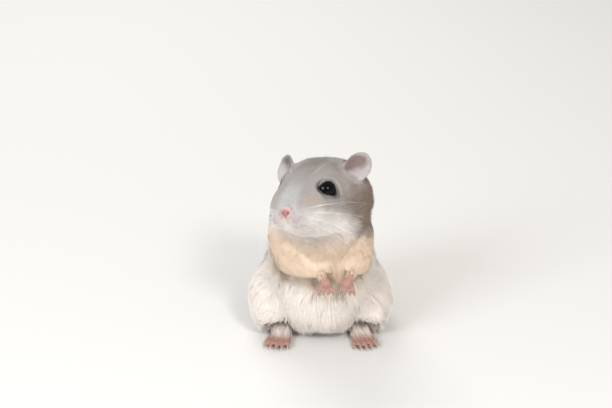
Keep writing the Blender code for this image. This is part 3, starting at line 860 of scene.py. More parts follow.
crown_middle = on_head(0, -4, 0)
flow = weight("head", "nose") * -toward(places, on_head(0, NOSE_TIP + 1, NOSE_LEVEL + 1.5))
flow += weight("neck") * (-toward(places, on_head(0, 4, 2)) + np.array([0, 0, -0.4]))
flow += weight("trunk") * (-toward(places, crown_middle) + np.array([0, 0.15, -0.5]))
flow += weight("tail") * np.array([0.05, 0.8, -0.5])
ear_axes, longer = {}, np.ones(len(places))
for side, end in ((1, "left"), (-1, "right")):
    mouth = head_way(side, *EAR_MOUTH_WAY).normalized()
    rise = head_way(side, *EAR_RISE_WAY)
    rise = (rise - mouth * rise.dot(mouth)).normalized()
    ear_axes[side] = mouth.cross(rise), mouth, rise
    ear_foot = middle_of("ear_" + end) - rise * EAR_HALF_HEIGHT * MM
    round_ear = np.linalg.norm(places - np.array(ear_foot - rise * 0.5 * MM), axis=1) / MM
    flow += weight("head") * np.array(rise) * (1.6 * step(round_ear, 5.2, 2.6))[:, None]
    longer += belongs("head") * step(round_ear, 5.0, 2.8) * EAR_FOOT_LONGER
    flow += weight("ear_" + end) * -toward(places, ear_foot)
    shoulder, wrist = arm_joint(SHOULDER, side, 0), arm_joint(WRIST, side, 1)
    elbow = arm_joint(ELBOW, side, ELBOW_SWAY)
    past_elbow = step((places - np.array(elbow)) @ run_of(elbow, wrist) / MM, *PAST_ELBOW)[:, None]
    arm_flow = run_of(shoulder, elbow) * (1 - past_elbow) + run_of(elbow, wrist) * past_elbow
    at_wrist = step(past_wrist, *AT_WRIST)[:, None]
    to_palm = run_of(wrist, arm_joint(PALM, side, 1))
    arm_flow = (arm_flow * 0.6 + np.array([0, -0.1, -0.8])) * (1 - at_wrist) + to_palm * 2 * at_wrist
    flow += weight("foreleg_" + end) * arm_flow
    flow += weight("forepaw_" + end) * np.array([0, -0.1, -1.0])
    ahead = np.array(foot_line(side)[1])
    flow += weight("hindfoot_" + end) * (ahead + np.array([0, 0, -0.2]))
    flow += weight("hindleg_" + end) * (-toward(places, crown_middle) + np.array([side * 0.1, -0.1, -0.7]))
flow = unit(flow)


def laid_flat(rows):
    return unit(rows - normals * np.sum(rows * normals, axis=1, keepdims=True))


for _ in range(FLOW_EASING):
    flow = laid_flat(eased(laid_flat(flow), pairs, 2))
swirl = np.zeros(len(places))
for length in SWIRL_LENGTHS:
    wave = rng.normal(size=3)
    wave *= 2 * math.pi / length / np.linalg.norm(wave)
    swirl += np.sin(on_trunk @ wave + rng.uniform(0, FULL_TURN)) * SWIRL_TURN
flow = laid_flat(flow + np.cross(normals, flow) * swirl[:, None])
open_lids = np.full(len(places), FAR_FROM_LIDS)
for side in (1, -1):
    local, reach, beyond = seen_along_eye(places, side)
    beyond = np.where(local[:, 2] > -1.5, beyond, FAR_FROM_LIDS)
    round_eye = np.where(beyond < 4, np.exp(-((beyond / LIDS_PULL_REACH) ** 2)), 0)
    spoke = unit(local * [1, 1, 0]) @ np.array(eye_axes(side))
    flow += spoke * (round_eye * LIDS_PULL)[:, None]
    open_lids = np.minimum(open_lids, beyond)
flow = laid_flat(flow)
print("lie of the coat worked out for", len(flow), "places")

# %% What the markings need to know about each place
ear_mask = eased(belongs(*both("ear")), pairs, 2)[:, 0]
ear_shape = np.zeros((len(places), 3))
for side, end in ((1, "left"), (-1, "right")):
    across, mouth, rise = (np.array(axis) for axis in ear_axes[side])
    outer = across * np.sign(across @ np.array(LEFT * side))
    from_middle = (places - np.array(middle_of("ear_" + end))) / MM
    shape = np.stack([from_middle @ outer / EAR_HALF_WIDTH, from_middle @ rise / EAR_HALF_HEIGHT,
                      step(normals @ mouth, -0.1, 0.45)], axis=1)
    ear_shape = np.where(weight("ear_" + end) > 0, shape, ear_shape)
ear_shape = eased(ear_shape, pairs, 2)
bareness = eased(belongs(*PAWS) - 0.8 * foot_fur, pairs, 2)[:, 0]
SHARED = {"lids": open_lids, "ear": ear_mask, "ear_shape": ear_shape, "bareness": bareness}

# %% [markdown]
# ## The coat
#
# Single hairs of the true thickness would need tens of millions. A lock of a dozen hairs is what
# the eye picks out anyway, so each tuft is one thin bent blade with a ridge, broad at the root and
# coming to a point. It leaves the skin at a slant, bends over, and its tip settles at the depth the
# coat has there, so that the tips together make the outline.
#
# All tufts of a region are one mesh, filled from arrays in one go.

# %% Faces of the skin
skin.data.calc_loop_triangles()
face_corners = np.empty(len(skin.data.loop_triangles) * 3, int)
skin.data.loop_triangles.foreach_get("vertices", face_corners)
face_corners = face_corners.reshape(-1, 3)
face_places = places[face_corners]
face_areas = np.linalg.norm(
    np.cross(face_places[:, 1] - face_places[:, 0], face_places[:, 2] - face_places[:, 0]), axis=1
) / 2 / MM**2
face_part = part[face_corners[:, 0]]
face_middle = face_places.mean(axis=1)
face_skull = head_measures(face_middle)
face_trunk = body_measures(face_middle)
face_facing = normals[face_corners].mean(axis=1)
print(len(face_corners), "faces")

# %% [markdown]
# Some places stay bare: the lids' edge, the nose pad, the groove and the mouth, and what the paws
# touch. So do the undersides near the floor and the cut end of each forearm, where tufts would
# stand out like a brush.

# %% Where no tufts grow
NOSE_MIDDLE, NOSE_REACH = (0, NOSE_TIP - 0.9, NOSE_LEVEL - 0.2), (1.08, 1.6, 0.88)
SEAM_HALF_WIDTH, LIP_HALF_HEIGHT, LIP_HALF_WIDTH = 0.16, 0.2, 2.0
PAD_WIDTH, PAD_WIDENS = 1.12, 0.3
UNDERSIDE, LOW_ON_BODY = -0.6, 12
CUT_END_FACING, CUT_END_PLACE = 0.55, -1.6


def off_the_nose(rows):
    """1 at the edge of the bare nose pad, less on it, more beyond; the pad narrows downward."""
    from_middle = (rows - NOSE_MIDDLE) / NOSE_REACH
    from_middle[:, 0] /= PAD_WIDTH + PAD_WIDENS * from_middle[:, 2].clip(-1, 1)
    return np.linalg.norm(from_middle, axis=1)


nose_pad = off_the_nose(face_skull)
face_open = open_lids[face_corners].min(axis=1)
seam_left, seam_up = abs(face_skull[:, 0]), face_skull[:, 2]
in_groove = (seam_left < SEAM_HALF_WIDTH) & (seam_up < NOSE_LEVEL) & (seam_up > PHILTRUM_END - 0.2)
above_lip = seam_up - (MOUTH_LEVEL - MOUTH_ARCH * seam_left**2)
on_lip = (seam_left < LIP_HALF_WIDTH) & (abs(above_lip) < LIP_HALF_HEIGHT)
in_seam = (face_skull[:, 1] > MUZZLE_START) & (in_groove | on_lip)
blunt = (face_facing[:, 2] < UNDERSIDE) & (face_trunk[:, 2] < LOW_ON_BODY)
for side in (1, -1):
    forearm = run_of(arm_joint(ELBOW, side, ELBOW_SWAY), arm_joint(WRIST, side, 1))
    at_cut_end = past_wrist[face_corners[:, 0]] > CUT_END_PLACE
    blunt |= (face_facing @ forearm > CUT_END_FACING) & at_cut_end
print("bare nose and seam", int(((nose_pad < 1) | in_seam).sum()), "faces")

# %% [markdown]
# The coat is parted into regions, each with its own number of tufts to the square millimetre. The
# face has the most, because its tufts are the smallest.


# %% Regions of the coat
CROWN_LEVEL, FACE_START, CHEST_END = 1.5, 0.5, 4


def face_is(*names):
    return np.isin(face_part, [part_names.index(name) for name in names])


on_head_faces = face_is("head", "nose")
high = face_skull[:, 2] > CROWN_LEVEL
fore = face_skull[:, 1] > FACE_START
behind_arms = face_trunk[:, 1] > CHEST_END
COAT = {
    "coat_crown": (on_head_faces & high, 45),
    "coat_face": (on_head_faces & ~high & fore, 84),
    "coat_cheeks": (on_head_faces & ~high & ~fore, 49),
    "coat_neck": (face_is("neck"), 44),
    "coat_chest": (face_is("trunk") & ~behind_arms, 42),
    "coat_back": (face_is("trunk") & behind_arms, 30),
    "coat_left_haunch": (face_is("hindleg_left"), 46),
    "coat_right_haunch": (face_is("hindleg_right"), 46),
    "coat_arms": (face_is(*both("foreleg")), 52),
    "coat_ears": (face_is(*both("ear")), 60),
    "coat_feet": (face_is(*PAWS, "tail"), 27),
}
for name, (mask, density) in COAT.items():
    print(name, round(float(face_areas[mask].sum())), "square mm, up to", density, "tufts on each")

# %% Clumps
CLUMP_LENGTHS, CLUMP_DEPTH = (3.1, 1.9, 1.3, 0.9), 0.06
clumps = np.zeros(len(places))
for length in CLUMP_LENGTHS:
    for _ in range(2):
        wave = rng.normal(size=3)
        wave *= 2 * math.pi / length / np.linalg.norm(wave)
        clumps += np.sin(on_trunk @ wave + rng.uniform(0, FULL_TURN) + swirl * 5) * CLUMP_DEPTH
print("tufts differ in height by up to", round(float(abs(clumps).max()), 2))

# %% [markdown]
# A tuft is laid over the skin by asking again and again which place of the skin is nearest, so the
# places are sorted into two search trees, one for the body and one for the paws. Beside the paws the
# coat is kept short, so that they lie on it and not in it.

# %% Nearest places and the room for the paws
PAW_ROOM, NO_PAW = 1.4, 9.0
SEARCH_ROOM, SEARCH_LEVEL, FACING_PAW, TOUCHING_PAW = 2, 8, 0.25, 0.25
body_tree, paw_tree = KDTree(body_vertices), KDTree(len(places) - body_vertices)
for number, place in enumerate(places):
    (body_tree if number < body_vertices else paw_tree).insert(place, number)
body_tree.balance()
paw_tree.balance()
paw_gap = np.full(len(places), NO_PAW)
paw_low, paw_high = places[body_vertices:].min(axis=0), places[body_vertices:].max(axis=0)
beside = (places > paw_low - SEARCH_ROOM * MM) & (places < paw_high + SEARCH_ROOM * MM)
close_by = beside.all(axis=1) & on_body_skin
for number in np.flatnonzero(close_by & (np.minimum(on_trunk[:, 2], abs(past_wrist)) < SEARCH_LEVEL)):
    near, _, gap = paw_tree.find(places[number])
    facing_paw = (np.array(near) - places[number]) @ normals[number] > FACING_PAW * gap
    if facing_paw or gap < TOUCHING_PAW * MM:
        paw_gap[number] = gap / MM
BARE_BY_PAWS, BARE_BY_LIDS, BARE_ON_NOSE = 0.3, 0.14, 0.95
furry = (paw_gap[face_corners].min(axis=1) > BARE_BY_PAWS) & (face_open > BARE_BY_LIDS)
furry &= (nose_pad > BARE_ON_NOSE) & ~in_seam & ~blunt
print("tufts kept short beside the paws at", int((paw_gap < PAW_ROOM).sum()), "places")


def nearest_on_skin(rows, on_paw):
    """The skin vertex nearest to each row, on the body or on the paws."""
    return np.array([(paw_tree if paw else body_tree).find(row)[1] for row, paw in zip(rows, on_paw)])


# %% [markdown]
# Every vertex of a tuft notes where the tuft is rooted and what the markings need to know there.
# For baking, each tuft is a small patch at its root's place on an unwrap of the skin under it.


# %% Notes and unwrap
def note(mesh, label, values):
    """Writes a number or a vector on every vertex of a mesh."""
    if values.ndim > 1 and values.shape[1] == 3:
        mesh.attributes.new(label, "FLOAT_VECTOR", "POINT").data.foreach_set("vector", values.ravel())
    else:
        mesh.attributes.new(label, "FLOAT", "POINT").data.foreach_set("value", values.ravel())


def unwrapped(name, chosen):
    """UV corners of the chosen faces of the skin, on an unwrap of the skin's own shape."""
    used, renumbered = np.unique(face_corners[chosen], return_inverse=True)
    mesh = bpy.data.meshes.new(name)
    mesh.from_pydata(places[used].tolist(), [], renumbered.reshape(-1, 3).tolist())
    patch = bpy.data.objects.new(name, mesh)
    scene.collection.objects.link(patch)
    select_only(patch)
    mesh.uv_layers.new(name="OFBake")
    bpy.ops.object.mode_set(mode="EDIT")
    bpy.ops.mesh.select_all(action="SELECT")
    bpy.ops.uv.smart_project(angle_limit=math.radians(70), island_margin=0.006)
    bpy.ops.object.mode_set(mode="OBJECT")
    flat = np.empty(len(mesh.loops) * 2)
    mesh.uv_layers["OFBake"].data.foreach_get("uv", flat)
    bpy.data.objects.remove(patch)
    bpy.data.meshes.remove(mesh)
    return flat.reshape(-1, 3, 2)


# %% [markdown]
# A tuft is two rows of three vertices and a tip: two bent strips that meet in a ridge. It may not
# cross a crease of the skin or hang in the air over an edge. One that would is made shorter and
# lower, twice at most, and is left out if it still does. Its shading leans to that of the skin,
# because light goes into fur and doesn't glance off each blade.

# %% One tuft as a mesh
STATIONS = ((0.0, 0.0, 0.85), (0.42, 0.62, 1.0), (1.0, 1.0, 0.0))  # shares of reach, height, width
ALONG = np.repeat([station[0] for station in STATIONS], (3, 3, 1))
QUADS, TIPS = np.array([[0, 3, 4, 1], [1, 4, 5, 2]]), np.array([[3, 6, 4], [4, 6, 5]])
CORNERS = [4, 4, 3, 3]
TRIANGLES = 6
PATCH = 0.003
PATCH_SPOTS = np.array([[-0.5, 0], [0, 0], [0.5, 0], [-0.4, 0.5], [0, 0.5], [0.4, 0.5], [0, 1]]) * PATCH


def blades(name, verts):
    """A mesh of tufts from the places of their vertices, with the vertex of each face corner."""
    count, per = verts.shape[:2]
    base = (np.arange(count) * per)[:, None]
    loops = np.concatenate([base + QUADS.ravel(), base + TIPS.ravel()], axis=1).ravel()
    sizes = np.tile(CORNERS, count)
    mesh = bpy.data.meshes.new(name)
    mesh.vertices.add(count * per)
    mesh.vertices.foreach_set("co", verts.ravel())
    mesh.loops.add(len(loops))
    mesh.loops.foreach_set("vertex_index", loops)
    mesh.polygons.add(len(sizes))
    mesh.polygons.foreach_set("loop_start", np.concatenate([[0], np.cumsum(sizes)[:-1]]))
    mesh.update(calc_edges=True)
    mesh.polygons.foreach_set("use_smooth", np.ones(len(sizes), bool))
    return mesh, loops


# %% Where a tuft is rooted, and where it may not go
MOST_TURN, OVERHANG = 0.25, 0.45


def scattered(chosen, density):
    """Random places on the chosen faces: which face each is on, and its shares of the corners."""
    area = face_areas[chosen]
    count = int(area.sum() * density)
    picked = np.searchsorted(np.cumsum(area) / area.sum(), rng.random(count)).clip(0, len(chosen) - 1)
    one, two = rng.random((2, count))
    fold = one + two > 1
    one[fold], two[fold] = 1 - one[fold], 1 - two[fold]
    return picked, np.stack([1 - one - two, one, two], axis=1)


def astray(spot, facing, close):
    """True where a place on a tuft has crossed a crease or hangs too far from the skin."""
    crossed = np.sum(normals[close] * facing, axis=1) <= MOST_TURN
    return crossed | (np.linalg.norm(spot - places[close], axis=1) / MM >= depth[close] + OVERHANG)


# %% Grow the tufts
MOST_TUFTS = 33000
STRAYS, STRAY_LENGTH = 0.08, 1.18
LEAN = 0.14
SHORTENING_ROUNDS, SHORTENED, LOWERED = 2, 0.55, 0.75
DEPTH_BESIDE_PAWS, SHORTER_BY_LIDS, LIDS_REACH = 0.25, 0.62, 1.1
LENGTH_TO_DEPTH, LEAST_LENGTH, LENGTHS = 2.3, 0.2, (0.8, 1.12)
HEIGHTS = 0.6, 0.98
WIDTH_AT_NONE, WIDTH_GROWTH, WIDTHS, PAW_WIDTH = 0.06, 0.019, (0.8, 1.25), 0.6
ROOT_SINK, RIDGE, SLANT, NORMAL_BLEND = 0.1, 0.17, 0.35, 0.75
SHORTEST_FROM_PAWS, STEADYING, LEAST_REST = 0.2, 0.15, 0.1
CLUMP_TINT = 1.6
FLOOR_CLEARANCE = 0.05


def grow(name, mask, density):
    """One mesh of tufts over the chosen faces of the skin."""
    chosen = np.flatnonzero(mask & furry)
    picked, shares = scattered(chosen, density)
    at = face_corners[chosen[picked]]
    count = len(at)

    def here(values):
        return np.sum(values[at] * shares[..., None], axis=1)

    def number_here(values):
        return here(values[:, None])[:, 0]

    root, facing, lie = here(places), unit(here(normals)), here(flow)
    on_paw = at[:, 0] >= body_vertices
    lie = unit(lie - facing * np.sum(lie * facing, axis=1, keepdims=True))
    across = np.cross(facing, lie)
    turn = rng.normal(0, LEAN, count)[:, None]
    lie, across = lie * np.cos(turn) + across * np.sin(turn), across * np.cos(turn) - lie * np.sin(turn)
    room = step(number_here(paw_gap), SHORTEST_FROM_PAWS, PAW_ROOM)
    deep = number_here(depth) * (DEPTH_BESIDE_PAWS + (1 - DEPTH_BESIDE_PAWS) * room)
    deep = deep * (1 - SHORTER_BY_LIDS * np.exp(-(number_here(open_lids).clip(0) / LIDS_REACH)))
    clump = 1 + number_here(clumps)
    stray = np.where(rng.random(count) < STRAYS, STRAY_LENGTH, 1.0)
    length = (LEAST_LENGTH + LENGTH_TO_DEPTH * deep) * rng.uniform(*LENGTHS, count) * stray
    length *= number_here(longer)
    height = deep * rng.uniform(*HEIGHTS, count) * clump * stray
    reach = np.sqrt((length**2 - height**2).clip(0.01))
    width = WIDTH_AT_NONE * np.where(on_paw, PAW_WIDTH, 1) + WIDTH_GROWTH * length
    width *= rng.uniform(*WIDTHS, count)
    long = np.arange(count)
    for _ in range(SHORTENING_ROUNDS):
        tip = root[long] + lie[long] * reach[long, None] * MM
        long = long[astray(tip, facing[long], nearest_on_skin(tip, on_paw[long]))]
        reach[long] *= SHORTENED
        height[long] *= LOWERED
    rows, own, fits = [], [], np.ones(count, bool)
    for along, rise, breadth in STATIONS:
        if along == 0:
            spot, up_here = root - facing * ROOT_SINK * MM, facing
        else:
            spot = root + lie * (reach * along)[:, None] * MM
            close = nearest_on_skin(spot, on_paw)
            up_here = unit(normals[close] + facing * STEADYING)
            fits &= ~astray(spot, facing, close)
            rest = np.minimum(height * rise, depth[close].clip(LEAST_REST) * stray)
            lift = rest * MM - np.sum((spot - places[close]) * normals[close], axis=1)
            spot = spot + normals[close] * lift[:, None]
        side_step = across * (width * breadth / 2)[:, None] * MM
        ridge = spot + up_here * (width * RIDGE * breadth)[:, None] * MM
        rows += (spot - side_step, ridge, spot + side_step) if breadth else (spot,)
        slant = across * SLANT
        own += [unit(up_here - slant), up_here, unit(up_here + slant)] if breadth else [up_here]
    fits &= np.cumsum(fits) <= MOST_TUFTS
    at, shares, picked = at[fits], shares[fits], picked[fits]
    count = len(at)
    verts = np.stack(rows, axis=1)[fits]
    verts[..., 2] = verts[..., 2].clip(FLOOR_CLEARANCE * MM)
    mesh, loops = blades(name, verts)
    per = verts.shape[1]
    note(mesh, "root", np.repeat(root[fits], per, axis=0))
    for label, values in SHARED.items():
        note(mesh, label, np.repeat(here(values.reshape(len(places), -1)), per, axis=0))
    note(mesh, "along", np.tile(ALONG, count))
    note(mesh, "tint", np.repeat(rng.random(count) + (clump[fits] - 1) * CLUMP_TINT, per))
    sheet = np.sum(unwrapped(name + "_unwrap", chosen)[picked] * shares[..., None], axis=1)
    uv = (sheet[:, None] + PATCH_SPOTS).clip(0.001, 0.999).reshape(-1, 2)
    mesh.uv_layers.new(name="OFBake").data.foreach_set("uv", uv[loops].ravel())
    shade = np.stack(own, axis=1)[fits] * (1 - NORMAL_BLEND) + facing[fits][:, None] * NORMAL_BLEND
    mesh.normals_split_custom_set_from_vertices(unit(shade).reshape(-1, 3))
    piece = bpy.data.objects.new(name, mesh)
    scene.collection.objects.link(piece)
    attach(piece, "root")
    print(name, count, "tufts,", count * TRIANGLES, "triangles")
    return piece


coat_pieces = [grow(name, mask, density) for name, (mask, density) in COAT.items()]

# %% [markdown]
# ## Markings
#
# Skin and coat share one set of markings, worked out from where a hair is rooted, so a hair keeps
# its colour along its length and the skin under it matches. Each is a soft mask: the grey cape over
# crown and back, the darker stripe down the middle, the white muzzle and cheeks, the white belly,
# and the brown patch behind the cheek, which is deepened by painted shade. The same masks paint
# light and shade: painted warm light makes the chest cream, and painted shade lies under the jaw.


# %% Colours
def tone(*levels):
    """A colour named by its everyday 0 to 255 values, as the shader wants it."""
    shares = (level / 255 for level in levels)
    return tuple(v / 12.92 if v <= 0.04 else ((v + 0.055) / 1.055) ** 2.4 for v in shares)


CAPE, STRIPE, BROW = tone(168, 160, 155), tone(122, 115, 110), tone(180, 175, 174)
BACK_GREY, BRIDGE, TAN = tone(164, 156, 151), tone(203, 201, 198), tone(194, 179, 166)
WHITE, CHEST_WARM_LIGHT, BROWN_PATCH_AND_SHADE = tone(248, 243, 239), tone(240, 218, 195), tone(138, 115, 96)
BELLY, JAW_SHADOW_TAN, NOSE_BLUSH = tone(247, 239, 231), tone(238, 212, 186), tone(214, 170, 162)
LID_DARK, EYE_SHADE, SEAM_SHADE = tone(26, 24, 24), tone(128, 121, 118), tone(140, 92, 90)
BARE_PINK, NOSE_PINK, LIP = tone(176, 130, 117), tone(170, 114, 110), tone(180, 160, 166)
EAR_RIM, EAR_FOLD_SHADE = tone(186, 178, 174), tone(142, 122, 120)
PALE_EAR_LIT, EAR_FOOT = tone(206, 198, 198), tone(186, 162, 150)
print("cape", [round(share, 3) for share in CAPE])


# %% Masks
def read(start, label, vector=False):
    """An attribute of the mesh."""
    return start.node("ShaderNodeAttribute", {"attribute_name": label}, "Vector" if vector else "Fac")


def peak(value, middle, width):
    """A mask that is 1 at the middle and falls to 0 a width away on each side."""
    return abs(value - middle).rises(width, 0.0)


def ear_rim(across, height):
    """A mask that is 1 on the ear's rim."""
    return across.math("SQRT", across * across + height * height).rises(0.72, 0.95)


# %% [markdown]
# The numbers below are millimetres: left, forward and up on the head, and x, y and z on the body.
# Each `rises(a, b)` is a soft edge from a to b in its own direction. Slow noise is added to what it
# is asked of, so that no edge runs straight. From the eye back, the line between white and grey
# slopes down to the corner of the jaw.

# %% Markings
CHEEK_LINE, CHEEK_BEND, CHEEK_SLOPE, CHEEK_END = -6.2, -2.0, 0.6, -10.8


def cape_colour(head, left, forward, up, x, y, z, patches):
    """The grey upper side."""
    colour = head.blend(BACK_GREY, CAPE)
    brow = (forward + patches * 4).rises(-5, 8)
    colour = (brow * head).blend(colour, BROW)
    tan = left.rises(2.2, 4.0) * left.rises(9, 6.5) * peak(up, -4.2, 3.4) * forward.rises(1.5, 5)
    colour = (tan * 0.75).blend(colour, TAN)
    bridge = (left + patches * 2).rises(3.4, 1.2) * forward.rises(4.0, 7.5)
    colour = bridge.blend(colour, BRIDGE)
    # The brown patch behind the cheek: partly the brown of the fur there, partly painted shade over it.
    patch_and_shade = (forward + patches * 6).rises(0.0, -8.0) * (up + patches * 6).rises(2.5, -4.5)
    patch_and_shade = patch_and_shade * left.rises(3.5, 9.5) * (z + patches * 5).rises(31.5, 37.5)
    colour = (patch_and_shade * 0.85).blend(colour, BROWN_PATCH_AND_SHADE)
    on_crown = (left + patches * 3).rises(4.5, 0.8) * forward.rises(4, -3)
    down_back = (abs(x) + patches * 2).rises(2.6, 0.7) * y.rises(2, 6)
    return head.between(down_back, on_crown * 0.6).blend(colour, STRIPE)


def pale_colour(head, y, z, patches):
    """The pale underside: white fur, with painted warm light on the chest and painted shade under the jaw.
    """
    # Painted light: the chest's white fur is tinted cream, as if warm light were thrown back from below.
    white_to_warm_light = (z + patches * 5).rises(37, 31).blend(WHITE, CHEST_WARM_LIGHT)
    belly = (z + patches * 5).rises(24, 17) + (y + patches * 4).rises(-7, -1)
    colour = head.blend(belly.lower(1.0).blend(white_to_warm_light, BELLY), white_to_warm_light)
    # Painted shade: a warm tan band under the jaw, where the head shades the throat.
    jaw_shadow = peak(z + patches * 2, 32.5, 4.0) * y.rises(-6, -11) * 0.55
    return jaw_shadow.blend(colour, JAW_SHADOW_TAN)


def ear_colour(start, patches):
    """The ear: pale at the rim; inside, darker hair deepened by painted shade in the fold, and whitish
    hair lit by painted light lower down.
    """
    across, height, inner = read(start, "ear_shape", True).parts()
    # Painted shade and light: the upper inner cup is darker hair in the shade of its fold, the lower outer
    # part whitish hair catching the light.
    inside = (height * 0.55 - across * 0.8 + patches).rises(-0.35, 0.35).blend(PALE_EAR_LIT, EAR_FOLD_SHADE)
    inside = height.rises(-0.5, -0.95).blend(inside, EAR_FOOT)
    return (inner * (1.0 - ear_rim(across, height))).blend(EAR_RIM, inside)


def markings(start):
    """The surface colour, how grey it is, and soft patches, from what is noted on the mesh."""
    root = read(start, "root", True)
    left, forward, up = (root.along(axis, HEAD_ORIGIN) for axis in (LEFT, FORWARD, UP))
    x, y, z = (root.along(axis, STANCE) for axis in ((1, 0, 0), (0, 1, 0), (0, 0, 1)))
    patches = start.node("ShaderNodeTexNoise", {}, 0, Vector=root, Scale=240.0, Detail=2.0) - 0.5
    left = abs(left)
    head = (z + patches * 2).rises(31.5, 35)
    cheek_line = ((forward - CHEEK_BEND).lower(0.0) * CHEEK_SLOPE + CHEEK_LINE).higher(CHEEK_END)
    head_grey = (up - cheek_line + patches * 3).rises(-2.6, 2.2) * forward.rises(11.5, 9.0)
    waves = z.math("SINE", z * 0.33) * 2.0
    body_grey = (y + waves + patches * 7 + z.rises(30, 36) * 5).rises(0.0, 4.0)
    grey = head.between(body_grey, head_grey)
    cape = cape_colour(head, left, forward, up, x, y, z, patches)
    colour = grey.blend(pale_colour(head, y, z, patches), cape)
    whisker_bed = peak(left, 2.8, 3.2) * peak(up, -8.2, 2.8) * forward.rises(5.5, 8.5)
    colour = (whisker_bed * 0.7).blend(colour, LIP)
    round_nose = peak(up, -6.9, 2.6) * left.rises(2.4, 0.6) * forward.rises(7.0, 9.0)
    colour = (round_nose * 0.55).blend(colour, NOSE_BLUSH)
    tail = y.rises(17.5, 19) * z.rises(9, 7)
    colour = tail.blend(colour, BELLY)
    colour = (read(start, "lids").rises(1.3, 0.35) * 0.5).blend(colour, EYE_SHADE)
    colour = read(start, "ear").blend(colour, ear_colour(start, patches))
    colour = (read(start, "bareness") * 0.6).blend(colour, BARE_PINK)
    return colour, grey, patches


# %% [markdown]
# ## Finish of the coat and the skin
#
# Fur is dull and a little silky at grazing angles. Down among the roots little light arrives, so a
# hair is darker there. Tufts differ a little in brightness, and on the grey parts some end in a
# dark tip.

# %% Coat finish
FUR_ROUGHNESS, FUR_SHEEN, FUR_GLOSS = 0.62, 0.2, 0.2
TIP_LIGHT, VARIETY, PATCHINESS, TICKING = 0.03, 0.16, 0.1, 0.3
ROOT_LIGHT_PALE, ROOT_LIGHT_GREY = 0.94, 0.82

fur, surface, start = new_material(
    "soft_fur", FUR_ROUGHNESS, Sheen_Weight=FUR_SHEEN, Specular_IOR_Level=FUR_GLOSS
)
colour, grey, patches = markings(start)
along, tint = read(start, "along"), read(start, "tint")
ticked = tint.rises(0.74, 0.86) * along.rises(0.2, 0.9) * grey * TICKING
own_light = (1 - ticked) * (1 + (tint - 0.5) * VARIETY + patches * PATCHINESS)
root_light = grey.between(ROOT_LIGHT_PALE, ROOT_LIGHT_GREY)
light = own_light * along.rises(0.0, 0.6).between(root_light, 1.0) + along * TIP_LIGHT
connect(start.vector("SCALE", 0, _0=colour, Scale=light), surface, "Base Color")
for piece in coat_pieces:
    piece.data.materials.append(fur)
print(fur.name, "on", len(coat_pieces), "pieces")

# %% Skin finish
SKIN_ROUGHNESS = 0.55
note(skin.data, "root", places)
for label, values in SHARED.items():
    note(skin.data, label, values.reshape(len(places), -1))
note(skin.data, "nose_pad", off_the_nose(on_skull)[:, None])
note(skin.data, "seam", (dent * front)[:, None])
material, surface, start = new_material("skin_under_fur", SKIN_ROUGHNESS)
colour, grey, patches = markings(start)
colour = read(start, "bareness").blend(colour, BARE_PINK)
colour = (read(start, "nose_pad") + patches * 0.4).rises(2.0, 0.8).blend(colour, NOSE_PINK)
# Painted shade: the skin darkens with the depth of the dents of nostrils, groove and mouth.
colour = read(start, "seam").rises(0.08, 0.4).blend(colour, SEAM_SHADE)
colour = read(start, "lids").rises(0.6, 0.4).blend(colour, LID_DARK)
connect(colour, surface, "Base Color")
skin.data.materials.append(material)
print(material.name)

# %% [markdown]
# ## Claws and whiskers
#
# A claw is horn: a little bent cone, pale and slightly clear. A whisker is a single stiff hair, far
# thicker than the rest, rooted in a dark spot on the swollen pad beside the nose. Claws, whiskers
# and those dark roots are drawn as tubes that taper to a point along a short path, and all tubes of
# a kind are joined in one mesh.

# %% Tapered tubes
TUBE_SIDES = 5


def tapered_tubes(name, paths, radii):
    """One mesh of tubes. Paths are arrays of places, radii the half widths along each."""
    verts, faces = [], []
    angles = np.arange(TUBE_SIDES) * 2 * math.pi / TUBE_SIDES
    for path, radius in zip(paths, radii):
        heading = unit(np.gradient(path, axis=0))
        side_way = unit(np.cross(heading, [0.31, 0.17, 0.94]))
        other = np.cross(heading, side_way)
        base = len(verts)
        for spot, wide, u, v in zip(path, radius, side_way, other):
            ring = spot + (np.outer(np.cos(angles), u) + np.outer(np.sin(angles), v)) * wide * MM
            verts += ring.tolist()
        for ring_number in range(len(path) - 1):
            for k in range(TUBE_SIDES):
                a = base + ring_number * TUBE_SIDES + k
                b = base + ring_number * TUBE_SIDES + (k + 1) % TUBE_SIDES
                faces.append((a, b, b + TUBE_SIDES, a + TUBE_SIDES))
        faces.append(tuple(base + k for k in reversed(range(TUBE_SIDES))))
        last = base + (len(path) - 1) * TUBE_SIDES
        faces.append(tuple(last + k for k in range(TUBE_SIDES)))
    mesh = bpy.data.meshes.new(name)
    mesh.from_pydata(verts, [], faces)
    mesh.shade_smooth()
    made = bpy.data.objects.new(name, mesh)
    scene.collection.objects.link(made)
    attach(made, "root")
    return made


def bent(start, middle, end, count):
    """Places on a smooth bend through three points."""
    t = np.linspace(0, 1, count)[:, None]
    start, middle, end = (np.array(place) for place in (start, middle, end))
    control = middle * 2 - (start + end) / 2
    return start * (1 - t) ** 2 + control * 2 * t * (1 - t) + end * t**2


# %% Claws
CLAW_RINGS, CLAW_TAPER = 7, 0.7
claw_paths = [bent(*run, CLAW_RINGS) for run in claw_runs]
claw_paths = [np.maximum(path, [-1, -1, 0.06 * MM]) for path in claw_paths]
claw_taper = np.linspace(1, 0, CLAW_RINGS) ** CLAW_TAPER
claw_radii = CLAW_RADII[1] + (CLAW_RADII[0] - CLAW_RADII[1]) * claw_taper
claws = tapered_tubes("claws", claw_paths, [claw_radii] * len(claw_paths))
print("claws", len(claw_paths))

# %% [markdown]
# Whiskers stand in rows on the pad, longer towards the back and lower row by row, and a few shorter
# ones stand over the eye. One that would reach too far from the animal is shortened until it fits.

